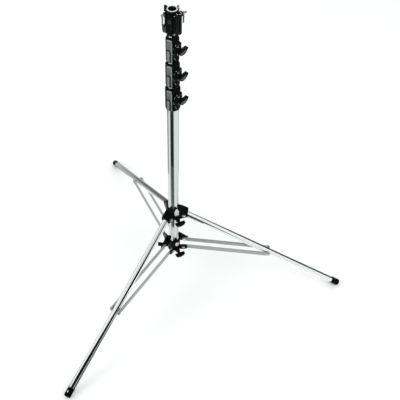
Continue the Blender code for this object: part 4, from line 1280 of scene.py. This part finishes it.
@dataclass
class BracePivot(LegFitting):
    """The bolt heads and washers where a pair of braces meets its leg."""

    outer: float = 0.0242

    def build(self) -> None:
        """Adds a head and a nut outside the two bars."""
        angle = math.radians(LINKAGE.spread)
        radius = LINKAGE.radius + LINKAGE.to_brace * math.sin(angle)
        height = LINKAGE.leg_height - LINKAGE.to_brace * math.cos(angle)
        place = about(radius, self.azimuth, height)
        for side, label in ((1, "right"), (-1, "left")):
            seat = across(place, side, self.outer)
            bm = bmesh.new()
            lathe(bm, washer(0.0036, 0.0085, 0.0012, 0.0004), seat, 32)
            if side > 0:
                domed_head(bm, 0.0066, 0.0042, seat @ shift(0.0, 0.0, 0.0012), 28)
            else:
                rod(bm, 0.0066, 0.0036, seat @ shift(0.0, 0.0, 0.0012), 6, 0.0005)
                rod(bm, 0.0037, 0.0016, seat @ shift(0.0, 0.0, 0.0044), 20, 0.0003)
            rod(bm, 0.0037, 0.0064, seat @ shift(0.0, 0.0, -0.0060), 20)
            self.shop.piece(f"brace_bolt_head_{self.number}_{label}", bm, ZINC, f"braces_{self.number}")


@dataclass
class Plate(SubAssembly):
    """A bare, pale plate on the front web of a collar, with two rivets.

    Its outline and its rivets' heights are in millimetres.
    """

    body: str
    height: float
    reach: float
    outline: tuple[Point, ...]
    rivets: Point
    azimuth: float = -30.0

    def build(self) -> None:
        """Adds the plate."""
        place = facing(self.azimuth, self.height, self.reach)
        bm = bmesh.new()
        prism(bm, [(x * MM, y * MM) for x, y in self.outline], 0.0010, place, edge=0.0003)
        self.shop.piece(f"{self.body}_plate", bm, PLATE, self.body)
        bm = bmesh.new()
        for rise in self.rivets:
            domed_head(bm, 0.0014, 0.0008, place @ shift(0.0, rise * MM, 0.0009), 16)
        self.shop.piece(f"{self.body}_plate_rivets", bm, ZINC, self.body)


# The pale studio


@dataclass(frozen=True)
class Card:
    """A piece of a ring on the floor round the stand.

    Its spans are in degrees of azimuth and in metres from the column.
    """

    name: str
    tone: float
    lift: float
    turn: Point
    reach: Point

    def corners(self, floor: float) -> list[Corner]:
        """Its outline.

        Args:
            floor: The floor's height.

        Returns:
            The corners in order.
        """
        low, high = self.turn
        near, far = self.reach
        edge = arc((0.0, 0.0), far, low, high, 24) + arc((0.0, 0.0), near, high, low, 24)
        return [(x, y, floor + self.lift) for x, y in edge]


@dataclass(frozen=True)
class Flag:
    """A flat card that hangs in the studio."""

    name: str
    tone: float
    outline: tuple[Corner, ...]

    def corners(self, floor: float) -> list[Corner]:
        """Its outline.

        Args:
            floor: The floor's height, which no corner goes below.

        Returns:
            The corners in order.
        """
        return [(x, y, max(z, floor)) for x, y, z in self.outline]


@dataclass(frozen=True)
class Lamp:
    """A large soft lamp, aimed at the stand."""

    name: str
    place: Corner
    size: float
    power: float

    def hang(self, aim: Vector) -> None:
        """Adds the lamp, which no chrome shows.

        Args:
            aim: The point that it looks at.
        """
        light = bpy.data.lights.new(self.name, "AREA")
        light.energy = self.power
        light.size = self.size
        made = bpy.data.objects.new(self.name, light)
        made.location = self.place
        made.visible_glossy = False
        made.rotation_euler = (aim - Vector(self.place)).to_track_quat("-Z", "Y").to_euler()
        bpy.context.scene.collection.objects.link(made)


@dataclass
class Studio:
    """The floor, the light and the camera at the photograph's angle."""

    focal_px: float = 694.5
    pitch: float = 46.82
    roll: float = -0.43
    look: float = 125.7
    distance: float = 2.0926
    height: float = 2.858
    centre: Point = (173.3, 161.9)
    image: float = 400.0
    sensor: float = 36.0
    far_clip: float = 100.0
    floor_height: float = -0.2162
    floor_size: float = 60.0
    floor_colour: Colour = (0.93, 0.935, 0.935)
    floor_roughness: float = 0.95
    wall_colour: Colour = (0.97, 0.985, 0.98)
    ceiling_colour: Colour = (0.012, 0.014, 0.014)
    ceiling: Point = (0.74, 0.95)
    even_colour: Colour = (0.98, 0.99, 0.99)
    even_light: float = 1.02
    lamp_aim: Corner = (0.0, 0.0, 0.5)
    lamps: tuple[Lamp, ...] = (
        Lamp("key", (-2.2, -2.6, 3.6), 2.0, 36.0),
        Lamp("fill", (3.0, -0.5, 3.0), 2.4, 20.0),
    )
    cards: tuple[Card, ...] = (
        Card("front_near", 0.12, 0.001, (-112.0, -40.0), (0.34, 0.92)),
        Card("front_soft", 0.22, 0.001, (-114.0, -37.0), (0.92, 1.42)),
        Card("front_core", 0.015, 0.002, (-97.0, -55.0), (0.80, 1.42)),
        Card("front_far", 0.01, 0.001, (-76.0, 50.0), (1.42, 2.5)),
        Card("back_near", 0.44, 0.001, (75.0, 215.0), (0.72, 1.25)),
        Card("back_middle", 0.30, 0.001, (75.0, 215.0), (1.25, 1.9)),
        Card("back_far", 0.14, 0.001, (75.0, 215.0), (1.9, 6.0)),
    )
    flags: tuple[Flag, ...] = (
        Flag("right_flag", 0.004, ((1.0, -2.8, 0.0), (1.0, -0.3, 0.0), (1.0, -0.3, 1.5), (1.0, -2.8, 1.5))),
        Flag(
            "back_flag",
            0.01,
            ((0.15, 1.35, -0.21), (2.2, 1.35, -0.21), (2.2, 1.35, 0.95), (0.15, 1.35, 0.95)),
        ),
        Flag(
            "high_flag",
            0.004,
            ((-0.9, -2.05, 1.2), (1.5, -1.1, 1.2), (3.0, -1.1, 1.2), (3.0, -4.5, 1.2), (-0.9, -4.5, 1.2)),
        ),
    )

    def build(self) -> None:
        """Builds the whole studio."""
        self.add_floor()
        self.add_world()
        for card in self.cards + self.flags:
            self.add_card(card)
        for lamp in self.lamps:
            lamp.hang(Vector(self.lamp_aim))
        self.add_camera()

    def add_floor(self) -> None:
        """A large pale floor, which takes the stand's shadow."""
        bm = bmesh.new()
        place = shift(0.0, 0.0, self.floor_height)
        bmesh.ops.create_grid(bm, x_segments=1, y_segments=1, size=self.floor_size / 2, matrix=place)
        add_object("floor", bm, matte("paper_floor", self.floor_colour, self.floor_roughness))

    def add_world(self) -> None:
        """Even light on the paper, with a pale wall and a dark ceiling for the chrome to show."""
        world = bpy.data.worlds.new("studio")
        bpy.context.scene.world = world
        world.use_nodes = True
        nodes = Nodes(world.node_tree)
        nodes.tree.nodes.clear()
        place = nodes.node("ShaderNodeTexCoord")
        height = nodes.node("ShaderNodeSeparateXYZ")
        nodes.link(place.outputs["Generated"], height.inputs[0])
        rise = nodes.node("ShaderNodeMapRange", interpolation_type="SMOOTHSTEP")
        rise.inputs["From Min"].default_value = self.ceiling[0]
        rise.inputs["From Max"].default_value = self.ceiling[1]
        nodes.link(height.outputs["Z"], rise.inputs["Value"])
        room = nodes.node("ShaderNodeMix", data_type="RGBA")
        room.inputs["A"].default_value = (*self.wall_colour, 1.0)
        room.inputs["B"].default_value = (*self.ceiling_colour, 1.0)
        nodes.link(rise.outputs["Result"], room.inputs["Factor"])
        mirror = nodes.node("ShaderNodeBackground")
        nodes.link(room.outputs["Result"], mirror.inputs["Color"])
        even = nodes.node("ShaderNodeBackground")
        even.inputs["Color"].default_value = (*self.even_colour, 1.0)
        even.inputs["Strength"].default_value = self.even_light
        kind = nodes.node("ShaderNodeLightPath")
        mix = nodes.node("ShaderNodeMixShader")
        nodes.link(kind.outputs["Is Glossy Ray"], mix.inputs["Fac"])
        nodes.link(even.outputs[0], mix.inputs[1])
        nodes.link(mirror.outputs[0], mix.inputs[2])
        out = nodes.node("ShaderNodeOutputWorld")
        nodes.link(mix.outputs[0], out.inputs["Surface"])

    def add_card(self, card: Card | Flag) -> None:
        """Adds a card or a flag, which only the chrome shows.

        Args:
            card: What to add.
        """
        bm = bmesh.new()
        bm.faces.new([bm.verts.new(corner) for corner in card.corners(self.floor_height)])
        made = add_object(card.name, bm, matte(f"{card.name}_cloth", (card.tone,) * 3, 1.0))
        made.visible_camera = False
        made.visible_diffuse = False
        made.visible_shadow = False

    def add_camera(self) -> None:
        """The photograph's camera, solved from the stand itself."""
        camera = bpy.data.cameras.new("camera")
        camera.sensor_width = self.sensor
        camera.lens = self.focal_px / self.image * camera.sensor_width
        camera.shift_x = (self.image / 2 - self.centre[0]) / self.image
        camera.shift_y = (self.centre[1] - self.image / 2) / self.image
        camera.clip_end = self.far_clip
        made = bpy.data.objects.new("camera", camera)
        back = math.radians(self.look + 180.0)
        made.matrix_world = (
            shift(self.distance * math.cos(back), self.distance * math.sin(back), self.height)
            @ turn_about_z(self.look - 90.0)
            @ Matrix.Rotation(math.radians(90.0 - self.pitch), 4, "X")
            @ Matrix.Rotation(math.radians(self.roll), 4, "Z")
        )
        bpy.context.scene.collection.objects.link(made)
        bpy.context.scene.camera = made


# The whole stand


LEG_FITTINGS = (HingeBolt, BracePins, BracePair, BracePivot)


@dataclass
class Stand(SubAssembly):
    """The whole stand: finishes for the CAD nodes, and the pieces."""

    leg_azimuths: tuple[float, ...] = (-90.0, 30.0, 150.0)
    gap: float = 0.0003
    base_radius: float = 0.025
    riser_step: float = 0.0025
    tube_wall: float = 0.0015
    tubes: tuple[tuple[str, str], ...] = (
        ("base_tube", "column"),
        ("riser_tube_1", "riser_1"),
        ("riser_tube_2", "riser_2"),
        ("riser_tube_3", "riser_3"),
    )
    lock_bottoms: tuple[float, ...] = (0.956, 1.077, 1.198)
    shoe_reach: float = 0.0066
    leg_radius: float = 0.015
    leg_wall: float = 0.002
    leg_length: float = 0.936
    leg_end: float = 0.008
    foot_floor: float = 0.006

    def dress_nodes(self) -> None:
        """Gives every CAD node its finish, from its slot in the record."""
        by_slot = {Slot.CHROME.value: CHROME, Slot.CASTING.value: CASTING, Slot.PLASTIC.value: PLASTIC}
        by_slot |= {Slot.ZINC.value: ZINC, Slot.BRASS.value: BRASS}
        for part in frame["record"]["subparts"]:
            self.shop.finish_node(part["node"], by_slot[part["material_slot"]])

    def build(self) -> None:
        """Builds the sub-assemblies in order."""
        self.dress_nodes()
        self.build_column()
        self.build_knobs()
        Head(self.shop).build()
        self.build_legs()
        self.build_plates()

    def build_column(self) -> None:
        """The column's tubes and the fittings of the three locks."""
        for step, (node, body) in enumerate(self.tubes):
            low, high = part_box(node)
            radius = self.base_radius - step * self.riser_step
            tube = Tube(self.shop, node, body, radius, self.tube_wall, low[2], high[2], finish=COLUMN_CHROME)
            tube.build()
            if step < len(self.lock_bottoms):
                self.lock(step).build()

    def lock(self, step: int) -> LockCasting:
        """The lock casting on top of a tube.

        Args:
            step: The tube's place in the column, from 0 for the base tube.

        Returns:
            The casting, ready to build.
        """
        seat = self.base_radius - step * self.riser_step
        return LockCasting(self.shop, step + 1, self.tubes[step][1], seat, self.lock_bottoms[step])

    def build_knobs(self) -> None:
        """The six wing knobs."""
        for step in range(len(self.lock_bottoms)):
            self.lock(step).knob().build()
        radius = self.base_radius
        for node, azimuth, height, boss, reach, scale, tilt in (
            ("leg_collar_knob", -30.0, LINKAGE.leg_height - 0.009, 0.026, 0.048, 1.0, 0.0),
            ("brace_collar_knob", -30.0, LINKAGE.brace_height - 0.017, 0.026, 0.048, 1.0, 0.0),
            ("side_clamp_knob", 210.0, LINKAGE.brace_height - 0.0275, 0.030, 0.046, 0.95, 62.0),
        ):
            WingKnob(
                self.shop,
                node,
                azimuth,
                height,
                reach=radius + reach,
                boss=radius + boss,
                tip=radius + self.shoe_reach,
                scale=scale,
                tilt=tilt,
            ).build()

    def build_legs(self) -> None:
        """The legs, their bolts, and the braces."""
        low, high = self.foot_floor + self.gap - self.leg_length, self.leg_end
        for number, azimuth in enumerate(self.leg_azimuths, 1):
            place = about(LINKAGE.radius, azimuth, LINKAGE.leg_height, LINKAGE.spread)
            leg = Tube(
                self.shop,
                f"leg_tube_{number}",
                f"leg_{number}",
                self.leg_radius,
                self.leg_wall,
                low,
                high,
                place,
                steps=72,
            )
            for assembly in (leg, *(kind(self.shop, number, azimuth) for kind in LEG_FITTINGS)):
                assembly.build()

    def build_plates(self) -> None:
        """The bare plates on the front webs of both collars."""
        upper = ((-3.0, 54.5), (-11.4, 35.6), (-9.0, 7.0), (11.5, 5.0), (11.5, 35.4), (3.4, 54.0))
        lower = ((-9.0, 8.0), (9.0, 8.0), (9.0, 29.0), (5.0, 35.8), (-6.0, 35.8), (-9.0, 29.0))
        for body, height, reach, outline, rivets in (
            ("leg_collar", LINKAGE.leg_height, 0.033, upper, (48.0, 11.0)),
            ("brace_collar", LINKAGE.brace_height, 0.037, lower, (31.0, 12.5)),
        ):
            Plate(self.shop, body, height, reach, outline, rivets).build()


def main() -> None:
    """Builds the studio and the stand."""
    logging.basicConfig(level=logging.INFO, format="%(name)s: %(message)s")
    bpy.context.scene.view_settings.view_transform = "Standard"
    Studio().build()
    shop = Workshop()
    Stand(shop).build()
    log.info("%d pieces", shop.count)


if __name__ == "__main__":
    main()
